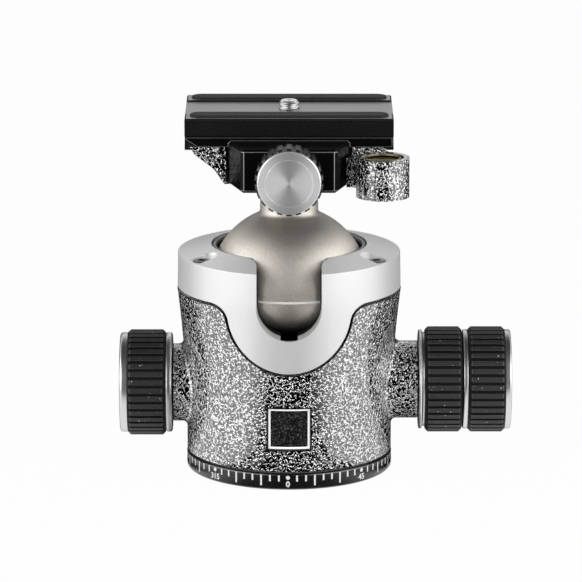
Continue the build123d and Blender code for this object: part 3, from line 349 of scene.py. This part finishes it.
def moulded_rubber(name, tone, roughness=0.55, axis_height=lock_axis):
    """Black moulded rubber with a dull dusty grain and white specks, and painted shade that makes the groove
    floors near black and less glossy.
    """
    material, tree, shader = start(name)
    where = place(tree)
    grain = rubber_grain(tree, where)
    dust = span(tree, noise(tree, where, 900.0, detail=4.0, roughness=0.7), 0.56, 0.75)
    speck = span(tree, noise(tree, where, 1500.0, detail=0.0), 0.825, 0.85)
    # painted shade: the groove floors go near black and less glossy, for the shade between the ribs
    groove = groove_of(tree, axis_height)
    colour = blend(tree, grain, grey(tone * 0.7), grey(tone * 1.3))
    colour = blend(tree, times(tree, dust, 0.25), colour, grey(0.2))
    colour = blend(tree, speck, colour, grey(0.7))
    coat(tree, shader, blend(tree, groove, colour, grey(0.004)),
         uneven(tree, grain, roughness - 0.08, roughness + 0.08), raise_by(tree, grain, 0.05 * mm))
    plug(tree, shader.inputs["Specular IOR Level"], span(tree, groove, 0.0, 1.0, 0.55, 0.22))
    return material


def strip_rubber(name):
    """Dull rubber with fine cross ribs on its top, and painted shade: near black in the troughs between ribs
    and down the sides.
    """
    rib_pitch = 0.42 * mm
    material, tree, shader = start(name)
    grain = rubber_grain(tree, place(tree))
    wave = calc(tree, "SINE", times(tree, along(tree, "X"), 2 * math.pi / rib_pitch))
    # painted shade: below the top and in the troughs the rubber is near black, lighter only on the rib
    # crests
    top = span(tree, along(tree, "Z"), strip_top - 0.3 * mm, strip_top)
    rib = times(tree, span(tree, wave, -0.6, 0.8), top)
    colour = blend(tree, times(tree, grain, 0.3), blend(tree, rib, grey(0.006), grey(0.034)), grey(0.02))
    coat(tree, shader, colour, uneven(tree, grain, 0.62, 0.74), raise_by(tree, rib, 0.1 * mm))
    return material


def moulded_plastic(name, tone, roughness=0.45):
    """Plain grey technical plastic with a faint moulding grain."""
    material, tree, shader = start(name)
    where = place(tree)
    grain = noise(tree, where, 2800.0, detail=3.0)
    colour = blend(tree, noise(tree, where, 150.0), grey(tone * 0.85), grey(tone * 1.12))
    coat(tree, shader, colour, uneven(tree, grain, roughness - 0.06, roughness + 0.06),
         raise_by(tree, grain, 0.03 * mm))
    return material


def liner_plastic(name):
    """Grey liner plastic on the lip round the ball, painted near black lower down as painted shade for the
    dark gap in the notch.
    """
    material, tree, shader = start(name)
    grain = noise(tree, place(tree), 2800.0, detail=3.0)
    # painted shade: below the lip the liner turns near black, for the shade deep in the notch
    lip = span(tree, along(tree, "Z"), liner_lip_height - 0.6 * mm, liner_lip_height)
    below = blend(tree, grain, grey(0.006), grey(0.014))
    above = blend(tree, grain, grey(0.17), grey(0.26))
    coat(tree, shader, blend(tree, lip, below, above), uneven(tree, grain, 0.4, 0.52),
         raise_by(tree, grain, 0.02 * mm))
    return material


def speckled_badge(name):
    """Dark pebbled sheet of the bare label."""
    material, tree, shader = start(name)
    pebble = noise(tree, place(tree), 2000.0, roughness=0.7)
    colour = blend(tree, span(tree, pebble, 0.5, 0.7), grey(0.008), grey(0.2))
    coat(tree, shader, colour, uneven(tree, pebble, 0.35, 0.55), raise_by(tree, pebble, 0.1 * mm))
    shader.inputs["Metallic"].default_value = 0.6
    return material


def printed_white(name):
    """White scale ink."""
    material, tree, shader = start(name)
    grain = noise(tree, place(tree), 6000.0)
    coat(tree, shader, blend(tree, grain, grey(0.82), grey(0.95)), uneven(tree, grain, 0.45, 0.6))
    return material


def enamel(name):
    """Bright white enamel on the label's frame, with a faint painted glow that adds light of its own."""
    material, tree, shader = start(name)
    grain = noise(tree, place(tree), 4200.0)
    coat(tree, shader, blend(tree, grain, grey(0.93), grey(1.0)), uneven(tree, grain, 0.42, 0.55))
    # painted light: a faint white glow, so the frame stays bright whatever lights it
    shader.inputs["Emission Color"].default_value = grey(1)
    shader.inputs["Emission Strength"].default_value = 0.35
    return material


def vial_liquid(name):
    """The level's liquid under its clear cap, with a ring mark and a bubble."""
    mark_radius = 2.6 * mm
    bubble_radius = 1.75 * mm
    material, tree, shader = start(name)
    cloud = noise(tree, place(tree), 300.0)
    away_x = calc(tree, "SUBTRACT", along(tree, "X"), vial_x)
    away_y = calc(tree, "SUBTRACT", along(tree, "Y"), vial_y)
    reach = length_of(tree, away_x, away_y)
    mark = span(tree, gap_to(tree, reach, mark_radius), 0.16 * mm, 0.10 * mm)
    bubble = span(tree, reach, bubble_radius, bubble_radius - 0.15 * mm)
    colour = blend(tree, cloud, (0.035, 0.040, 0.012, 1), (0.06, 0.066, 0.02, 1))
    colour = blend(tree, bubble, colour, (0.16, 0.17, 0.10, 1))
    coat(tree, shader, blend(tree, mark, colour, grey(0.01)), 0.06)
    shader.inputs["IOR"].default_value = 1.14
    shader.inputs["Specular IOR Level"].default_value = 0.1
    return material


def make_materials():
    """One finish for each of the record's material slots, and a few for edges and trim."""
    return {
        "black_cast": hammertone("black_cast"),
        "black_anodised": anodised("black_anodised", 0.010),
        "dark_anodised": anodised("dark_anodised", 0.010, 0.28, 1.36),
        # painted reflection: the plate's top face is a lighter grey than its other black faces, for the
        # backdrop it reflects
        "deck": anodised("deck", 0.15, 0.40, 3.7),
        "base_ring": anodised("base_ring", 0.005, 0.25, 2.05),
        "jaw_black": anodised("jaw_black", 0.003, 0.30, 1.2),
        "black_steel": anodised("black_steel", 0.02, 0.28, 2.4),
        # partly painted shade: near-black edge for the housing, for the paint's own dark edge and for the
        # shade in the joint line under the collar
        "paint_and_shade_edge": anodised("paint_and_shade_edge", 0.004),
        "collar_metal": blasted("collar_metal", 0.86, 0.42, metal=0.4),
        # painted highlights: lighter finishes for the edges and a cut corner of parts, for the light these
        # catch
        "collar_edge_highlight": blasted("collar_edge_highlight", 0.97, 0.3, metal=0.5),
        "bright_edge_highlight": blasted("bright_edge_highlight", 0.60, 0.34, metal=0.4),
        "jaw_edge_highlight": blasted("jaw_edge_highlight", 0.46, 0.34, metal=0.7),
        "dark_edge_highlight": blasted("dark_edge_highlight", 0.17, 0.3),
        "ball_metal": champagne("ball_metal"),
        "steel": turned("steel", (0.80, 0.80, 0.80), "Z", 0.34),
        "trim_metal": turned("trim_metal", (0.74, 0.74, 0.74), "X", 0.32),
        "spun_metal": turned("spun_metal", (0.94, 0.94, 0.94), "Y", 0.42, metal=0.8, brushed=0.7),
        "bronze": turned("bronze", (0.62, 0.43, 0.22), "X", 0.34),
        "vial_ring": turned("vial_ring", (0.86, 0.74, 0.50), "Z", 0.38),
        "frame_metal": enamel("frame_metal"),
        "polymer": moulded_plastic("polymer", 0.25),
        "liner": liner_plastic("liner"),
        "rubber": moulded_rubber("rubber", 0.018),
        # painted highlights: lighter, glossier rubber for the grips' rib edges
        "rubber_edge_highlight": moulded_rubber("rubber_edge_highlight", 0.06, 0.42),
        "left_rubber": moulded_rubber("left_rubber", 0.010, axis_height=pan_axis),
        "left_rubber_edge": moulded_rubber("left_rubber_edge", 0.05, 0.42, pan_axis),
        "pad_rubber": strip_rubber("pad_rubber"),
        "label": speckled_badge("label"),
        "vial": vial_liquid("vial"),
        "scale_paint": printed_white("scale_paint"),
    }


finishes = make_materials()


def dress_nodes():
    """Gives each CAD node the finish of its slot."""
    for entry in record["subparts"]:
        mesh = nodes[entry["node"]].data
        mesh.materials.clear()
        mesh.materials.append(finishes[entry["material_slot"]])


# ---------------------------------------------------------------- mesh helpers


def mesh_from(bm, name):
    """Turns a bmesh into a mesh."""
    mesh = bpy.data.meshes.new(name)
    bm.to_mesh(mesh)
    bm.free()
    return mesh


def piece_from(bm, name, body, looks, smooth=35):
    """Turns a bmesh into a piece that rides on a body, with a finish for each material number."""
    mesh = mesh_from(bm, name)
    for look in looks:
        mesh.materials.append(finishes[look])
    mesh.shade_smooth()
    mesh.set_sharp_from_angle(angle=math.radians(smooth))
    piece = bpy.data.objects.new(name, mesh)
    bpy.context.collection.objects.link(piece)
    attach(piece, body)
    return piece


def join_rows(bm, low, high):
    """Closes the band of faces between two rings of vertices."""
    faces = []
    for k in range(len(low)):
        after = (k + 1) % len(low)
        faces.append(bm.faces.new((low[k], low[after], high[after], high[k])))
    return faces


def slot_of(node):
    """The record's material slot of a CAD node."""
    return next(entry["material_slot"] for entry in record["subparts"] if entry["node"] == node)


plain_look, edge_look, bare_look = 0, 1, 2
seam = 0.002 * mm
flat_angle = math.radians(0.6)


def soft_edged(node, width, finish=None, edge=None, angle=25, clamp=True, painted_light_faces=None,
               bare="bright_edge_highlight", highlight_where=None):
    """Stands a copy of a CAD node with small rounded edges in its place.

    The edges get the finish named edge, only on the faces that the edge filter picks if one is given,
    and the faces that the face filter picks get the finish named bare. Both judge a face by its normal.
    On several nodes the edge finish is a lighter copy painted on as a highlight, on the housing a darker
    one that is partly painted shade, and the finish named bare is painted light as well.
    """
    slot = slot_of(node)
    finish = finish or slot
    bm = bmesh.new()
    bm.from_mesh(nodes[node].data)
    for face in bm.faces:
        face.material_index = plain_look
    bmesh.ops.remove_doubles(bm, verts=bm.verts, dist=seam)
    bmesh.ops.dissolve_limit(bm, angle_limit=flat_angle, verts=bm.verts, edges=bm.edges)
    sharp = [e for e in bm.edges if e.calc_face_angle(0) > math.radians(angle)]
    bmesh.ops.bevel(bm, geom=sharp, offset=width, segments=2, profile=0.5, affect="EDGES",
                    clamp_overlap=clamp, material=edge_look)
    bm.normal_update()
    # painted light: faces the face filter picks take the finish named bare, and the edge finish, a painted
    # highlight on several nodes, stays only on the edges the edge filter picks
    for face in bm.faces:
        if face.material_index == plain_look and painted_light_faces and painted_light_faces(face.normal):
            face.material_index = bare_look
        if face.material_index == edge_look and highlight_where and not highlight_where(face.normal):
            face.material_index = plain_look
    looks = (finish, edge or finish, bare)
    piece = piece_from(bm, node + "_dressed", nodes[node]["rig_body"], looks)
    weigh = piece.modifiers.new("weigh", "WEIGHTED_NORMAL")
    weigh.keep_sharp = True
    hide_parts(node)


# ---------------------------------------------------------------- degree scale on the base

scale_turn = math.radians(-0.65)
degrees_per_mark = 5
marks_per_long = 3
marks_per_number = 9
ink = 0.02 * mm
tick_top = 4.85 * mm
tick_half_width = 0.29 * mm
short_tick = 2.0 * mm
long_tick = 3.5 * mm
dot_radius = 0.64 * mm
dot_height = 4.1 * mm
dot_sides = 16
digit_height = 1.95 * mm
digit_foot = 1.0 * mm
digit_weight = 0.028


def on_ring(turn, sideways, height):
    """A point of the ring's face, so far to the right of a turn from the front."""
    angle = turn + sideways / base_radius
    reach = base_radius + ink
    return Vector((reach * math.sin(angle), -reach * math.cos(angle), height))


def print_outline(bm, turn, outline):
    """A flat mark of ink on the ring."""
    bm.faces.new([bm.verts.new(on_ring(turn, sideways, height)) for sideways, height in outline])


def print_number(bm, turn, text):
    """A number on the ring, centred on a turn."""
    curve = bpy.data.curves.new("digits", "FONT")
    curve.body = text
    curve.align_x = "CENTER"
    curve.offset = digit_weight
    glyphs = bpy.data.objects.new("digits", curve)
    flat = bpy.data.meshes.new_from_object(glyphs)
    low = min(v.co.y for v in flat.vertices)
    tall = max(v.co.y for v in flat.vertices) - low
    size = digit_height / tall
    spots = [on_ring(turn, v.co.x * size, digit_foot + (v.co.y - low) * size) for v in flat.vertices]
    verts = [bm.verts.new(spot) for spot in spots]
    for face in flat.polygons:
        bm.faces.new([verts[k] for k in face.vertices])
    bpy.data.objects.remove(glyphs)
    bpy.data.curves.remove(curve)


def print_dot(bm, turn):
    """A round dot above a number."""
    angles = [2 * math.pi * k / dot_sides for k in range(dot_sides)]
    outline = [(dot_radius * math.cos(a), dot_height + dot_radius * math.sin(a)) for a in angles]
    print_outline(bm, turn, outline)


def print_tick(bm, turn, length):
    """An upright tick that hangs from the ring's upper edge."""
    left, right, foot = -tick_half_width, tick_half_width, tick_top - length
    print_outline(bm, turn, [(left, foot), (right, foot), (right, tick_top), (left, tick_top)])


def make_scale():
    """A mark every 5 degrees, a long one every 15, and a dot with its number every 45."""
    bm = bmesh.new()
    for step in range(360 // degrees_per_mark):
        turn = math.radians(degrees_per_mark * step) + scale_turn
        if step % marks_per_number == 0:
            print_dot(bm, turn)
            print_number(bm, turn, str(degrees_per_mark * step))
        else:
            print_tick(bm, turn, long_tick if step % marks_per_long == 0 else short_tick)
    piece_from(bm, "degree_scale", "base", ("scale_paint",))


# ---------------------------------------------------------------- camera screw

screw_pitch = 1.27 * mm
thread_depth = 0.5 * mm
thread_radius = 3.175 * mm
thread_start = 0.4 * mm
thread_run_in = 0.6 * mm
thread_crest = 1.25
screw_head = 2.2 * mm
screw_edge = 0.25 * mm
screw_cone = 0.75 * mm
cone_slope = 0.9
dimple_depth = 0.5 * mm
screw_sides = 64
screw_steps = 90


def round_row(bm, height, radius_at):
    """A ring of vertices at a height, with a radius that may change with the turn."""
    turns = [2 * math.pi * k / screw_sides for k in range(screw_sides)]
    reaches = [(radius_at(turn), turn) for turn in turns]
    return [bm.verts.new((r * math.cos(turn), r * math.sin(turn), height)) for r, turn in reaches]


def plain_row(bm, height, radius):
    """A ring of vertices at a height, with one radius."""
    return round_row(bm, height, lambda turn: radius)


def thread_row(bm, height, head_top, tip):
    """A ring of vertices across the thread, which fades in above the head and out at the cone."""
    fade = min(1.0, max(0.0, (height - head_top - thread_start) / thread_run_in))
    limit = thread_radius - max(0.0, height - (tip - screw_cone)) * cone_slope

    def radius_at(turn):
        part = (height / screw_pitch - turn / (2 * math.pi)) % 1.0
        rise = 1 - abs(2 * part - 1)
        return min(thread_radius - thread_depth * fade * (1 - min(1.0, thread_crest * rise)), limit)

    return round_row(bm, height, radius_at)


def make_camera_screw():
    """The camera screw: a turned head, a threaded shank and a coned tip with a small dimple."""
    lowest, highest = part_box("camera_screw")
    foot, tip, head_radius = lowest.z, highest.z, highest.x
    head_top = foot + screw_head
    bm = bmesh.new()
    rows = [
        plain_row(bm, foot, 0.1 * mm),
        plain_row(bm, foot, head_radius - screw_edge),
        plain_row(bm, foot + screw_edge, head_radius),
        plain_row(bm, head_top - screw_edge, head_radius),
        plain_row(bm, head_top, head_radius - screw_edge),
    ]
    for step in range(screw_steps + 1):
        rows.append(thread_row(bm, head_top + (tip - head_top) * step / screw_steps, head_top, tip))
    rows.append(plain_row(bm, tip, 0.75 * mm))
    rows.append(plain_row(bm, tip - dimple_depth / 2, 0.55 * mm))
    rows.append(plain_row(bm, tip - dimple_depth, 0.05 * mm))
    for low, high in zip(rows, rows[1:]):
        join_rows(bm, low, high)
    bm.faces.new(rows[0][::-1])
    bm.faces.new(rows[-1])
    piece = piece_from(bm, "camera_screw_dressed", "camera_screw", ("steel",), smooth=40)
    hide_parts("camera_screw")


# ---------------------------------------------------------------- level

window_radius = 5.46 * mm
ring_lip = 0.2 * mm
ring_sides = 96


def lathe(bm, outline, centre, painted_shade_rows):
    """Turns a closed outline about an upright line; the faces after the dark rows get the second finish."""
    rows = []
    for radius, height in outline:
        turns = [2 * math.pi * k / ring_sides for k in range(ring_sides)]
        spots = [(centre[0] + radius * math.cos(t), centre[1] + radius * math.sin(t), height) for t in turns]
        rows.append([bm.verts.new(spot) for spot in spots])
    for row, (low, high) in enumerate(zip(rows, rows[1:] + rows[:1])):
        for face in join_rows(bm, low, high):
            face.material_index = 1 if row in painted_shade_rows else 0


def make_level_ring():
    """The thin gold ring round the level's window, flush with the top of its ear, with its foot and lower
    inner wall painted black as painted shade for the dark inside of the window.
    """
    lowest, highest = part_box("level_ring")
    inner, outer = window_radius, (highest.x - lowest.x) / 2 - 0.02 * mm
    lip = inner + ring_lip
    outline = [
        (inner, lowest.z),
        (outer, lowest.z),
        (outer, ear_top - 0.7 * mm),
        (lip, ear_top - 0.6 * mm),
        (lip, ear_top - 0.08 * mm),
        (lip - 0.08 * mm, ear_top),
        (inner + 0.06 * mm, ear_top),
        (inner, ear_top - 0.06 * mm),
        (inner, ear_top - 0.55 * mm),
    ]
    bm = bmesh.new()
    # painted shade: the ring's foot, outer wall and lower inner wall take the black finish, so the window
    # reads dark inside
    lathe(bm, outline, (vial_x, vial_y), painted_shade_rows=(0, 1, 2, len(outline) - 1))
    piece = piece_from(bm, "level_ring_dressed", "top", ("vial_ring", "jaw_black"))
    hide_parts("level_ring")


# ---------------------------------------------------------------- rounded edges on the CAD nodes


def is_low_corner(normal):
    """True for the cut corner of a jaw's blade."""
    return normal.z < -0.3 and abs(normal.x) > 0.3 and abs(normal.y) < 0.2


def is_front(normal):
    """True for a face that looks to the front."""
    return normal.y < -0.75


def is_top(normal):
    """True for a face that looks up."""
    return normal.z > 0.9


def dress_pieces():
    """Rounded edges on every node whose edges catch the light."""
    # painted highlights: the jaw's front edges and its blade's cut corner, and the edges of the rear jaw,
    # plate, clamp knob rim and collar, take lighter finishes for the light they catch
    soft_edged("jaw", 0.15 * mm, finish="jaw_black", edge="jaw_edge_highlight", painted_light_faces=is_low_corner, highlight_where=is_front)
    soft_edged("rear_jaw", 0.16 * mm, edge="dark_edge_highlight")
    # painted reflection: the plate's top face takes a lighter grey than its black sides
    soft_edged("plate", 0.14 * mm, edge="dark_edge_highlight", painted_light_faces=is_top, bare="deck")
    soft_edged("plate_strips", 0.3 * mm)
    soft_edged("label_frame", 0.12 * mm, finish="frame_metal")
    for ring in ("pan_knob_ring", "lock_knob_ring", "friction_knob_ring"):
        soft_edged(ring, 0.2 * mm)
    # painted highlights: the grips' rib edges take lighter, glossier rubber
    soft_edged("pan_knob_grip", 0.12 * mm, finish="left_rubber", edge="left_rubber_edge", clamp=False)
    for grip in ("lock_knob_grip", "friction_knob_grip"):
        soft_edged(grip, 0.12 * mm, edge="rubber_edge_highlight", clamp=False)
    soft_edged("clamp_knob_rim", 0.1 * mm, edge="dark_edge_highlight", clamp=False)
    soft_edged("clamp_knob_cap", 0.12 * mm)
    soft_edged("base_disc", 0.25 * mm)
    soft_edged("collar_screws", 0.12 * mm)
    soft_edged("collar", 0.12 * mm, edge="collar_edge_highlight", clamp=False)
    # partly painted shade: the housing's edges are near black without veins, for the paint's dark edge and
    # the shade in the joint line under the collar
    soft_edged("housing", 0.22 * mm, edge="paint_and_shade_edge", angle=35, clamp=False)


# ---------------------------------------------------------------- studio

head_middle = Vector((0, 0, 0.06))
card_tone = 0.015
card_start = base_radius + 0.5 * mm


def dull(name, tone):
    """A plain surface with no gloss."""
    material, tree, shader = start(name)
    coat(tree, shader, grey(tone), 1.0)
    shader.inputs["Specular IOR Level"].default_value = 0.0
    return material


def fading(name, tone, middle, full, gone):
    """A dull tone round an azimuth that fades to nothing between two angles from it."""
    material = dull(name, tone)
    tree = material.node_tree
    turn = math.radians(middle)
    where = place(tree)
    ahead = add(tree, "VectorMath", {0: where, 1: (math.sin(turn), -math.cos(turn), 0)},
                operation="DOT_PRODUCT").outputs["Value"]
    aside = add(tree, "VectorMath", {0: where, 1: (math.cos(turn), math.sin(turn), 0)},
                operation="DOT_PRODUCT").outputs["Value"]
    off = calc(tree, "ABSOLUTE", calc(tree, "ARCTAN2", aside, ahead))
    clear = span(tree, off, math.radians(full), math.radians(gone))
    surface = tree.nodes["Principled BSDF"].outputs[0]
    through = add(tree, "BsdfTransparent").outputs[0]
    mix = add(tree, "MixShader", {0: clear, 1: surface, 2: through})
    tree.links.new(mix.outputs[0], tree.nodes["Material Output"].inputs["Surface"])
    return material


def reflected_only(bm, name, material):
    """A panel of the studio that only shows in reflections."""
    mesh = mesh_from(bm, name)
    mesh.materials.append(material)
    panel = bpy.data.objects.new(name, mesh)
    panel.visible_camera = panel.visible_diffuse = panel.visible_shadow = False
    bpy.context.collection.objects.link(panel)
    return panel


def turn_to(item, centre, facing, front):
    """Puts a card or lamp at a centre with its front axis towards a point."""
    item.location = centre
    item.rotation_euler = (Vector(facing) - Vector(centre)).to_track_quat(front, "Y").to_euler()


def card(name, centre, size, facing=head_middle, tone=card_tone):
    """A plain dark rectangular card beside the set."""
    wide, high = size[0] / 2, size[1] / 2
    bm = bmesh.new()
    corners = [(-wide, -high), (wide, -high), (wide, high), (-wide, high)]
    bm.faces.new([bm.verts.new((x, y, 0)) for x, y in corners])
    turn_to(reflected_only(bm, name, dull(name, tone)), centre, facing, "Z")


def floor_card(name, middle, full, gone, far, tone=0.005):
    """A dark wedge on the floor, from the base outwards, with soft sides."""
    steps = 48
    lift = 0.01 * mm
    bm = bmesh.new()
    turns = [math.radians(middle - gone + 2 * gone * k / steps) for k in range(steps + 1)]
    rings = []
    for reach in (card_start, far):
        spots = [(reach * math.sin(turn), -reach * math.cos(turn), lift) for turn in turns]
        rings.append([bm.verts.new(spot) for spot in spots])
    for k in range(steps):
        bm.faces.new((rings[0][k], rings[1][k], rings[1][k + 1], rings[0][k + 1]))
    reflected_only(bm, name, fading(name, tone, middle, full, gone))


def boss_shadow_card(name, middle, wide):
    """A dark strip on the floor in front of a side boss, seen only in reflections: a painted shadow of the
    knob above it.
    """
    reach, long, lift = 62 * mm, 146 * mm, 0.02 * mm
    card(name, (middle, -reach, lift), (wide, long), (middle, -reach, 1), 0.008)


def softbox(name, centre, size, radiance):
    """A rectangular lamp of an even brightness, turned to the head."""
    data = bpy.data.lights.new(name, "AREA")
    data.shape = "RECTANGLE"
    data.size, data.size_y = size
    data.energy = radiance * math.pi * size[0] * size[1]
    lamp = bpy.data.objects.new(name, data)
    turn_to(lamp, centre, head_middle, "-Z")
    bpy.context.collection.objects.link(lamp)
    return lamp


def around(azimuth, elevation, distance):
    """A point at an azimuth from the front (the right is positive), elevation and distance."""
    turn, rise = math.radians(azimuth), math.radians(elevation)
    ahead = math.cos(rise)
    return head_middle + distance * Vector((math.sin(turn) * ahead, -math.cos(turn) * ahead, math.sin(rise)))


def seen(tree):
    """1 for what the camera, a gloss or a glass shows, and 0 for light on the object."""
    path = add(tree, "LightPath")
    direct = calc(tree, "MAXIMUM", path.outputs["Is Camera Ray"], path.outputs["Is Glossy Ray"])
    return calc(tree, "MAXIMUM", direct, path.outputs["Is Transmission Ray"])


def make_world():
    """A pale studio that is white at the horizon and darker overhead."""
    white_below, dark_above = 0.38, 0.90
    light_strength, seen_strength = 0.62, 1.0
    world = bpy.data.worlds.new("studio")
    world.use_nodes = True
    tree = world.node_tree
    background = tree.nodes["Background"]
    rise = add(tree, "SeparateXYZ", {"Vector": add(tree, "TexCoord").outputs["Generated"]}).outputs["Z"]
    overhead = span(tree, rise, white_below, dark_above)
    plug(tree, background.inputs["Color"], blend(tree, overhead, grey(1), grey(0.03)))
    strength = span(tree, seen(tree), 0.0, 1.0, light_strength, seen_strength)
    plug(tree, background.inputs["Strength"], strength)
    bpy.context.scene.world = world


def make_floor():
    """A wide pale floor that shows white and keeps a soft shadow."""
    albedo, whiteness = 0.82, 0.97
    bm = bmesh.new()
    bmesh.ops.create_circle(bm, cap_ends=True, segments=96, radius=9.0)
    material = dull("floor", albedo)
    tree = material.node_tree
    glow = add(tree, "Emission", {"Color": grey(1), "Strength": 1.0}).outputs[0]
    surface = tree.nodes["Principled BSDF"].outputs[0]
    mix = add(tree, "MixShader", {0: times(tree, seen(tree), whiteness), 1: surface, 2: glow})
    tree.links.new(mix.outputs[0], tree.nodes["Material Output"].inputs["Surface"])
    mesh = mesh_from(bm, "floor")
    mesh.materials.append(material)
    floor = bpy.data.objects.new("floor", mesh)
    floor.location.z = -0.02 * mm
    bpy.context.collection.objects.link(floor)


def make_studio():
    """Two wide side lamps, one overhead lamp in front, and dark cards that shade the reflections."""
    make_world()
    make_floor()
    softbox("left_lamp", around(-63, 14, 0.95), (1.5, 0.95), 1.4)
    softbox("right_lamp", around(63, 14, 0.95), (1.5, 0.95), 1.4)
    softbox("top_lamp", around(0, 66, 1.0), (0.8, 0.42), 2.0).visible_glossy = False
    card("front_card", around(0, 22, 1.7), (1.6, 1.7))
    card("left_card", around(-141, 5, 0.9), (1.25, 0.42))
    card("right_card", around(141, 5, 0.9), (1.25, 0.42))
    # painted shadow: a dark wedge on the floor close in front of the base, seen only in reflections, for the
    # head's shadow near it
    floor_card("shade_floor_card", middle=0, full=24, gone=70, far=0.058, tone=0.01)
    floor_card("front_floor_card", middle=0, full=17, gone=45, far=1.8)
    floor_card("back_floor_card", middle=180, full=66, gone=90, far=1.4)
    # painted shadows: dark strips on the floor, seen only in reflections, for the knobs' shadows
    boss_shadow_card("left_boss_card", -36.4 * mm, 5.4 * mm)
    boss_shadow_card("right_boss_card", 37.7 * mm, 7.8 * mm)


# ---------------------------------------------------------------- the whole scene

dress_nodes()
make_scale()
make_camera_screw()
make_level_ring()
dress_pieces()
make_camera()
make_studio()
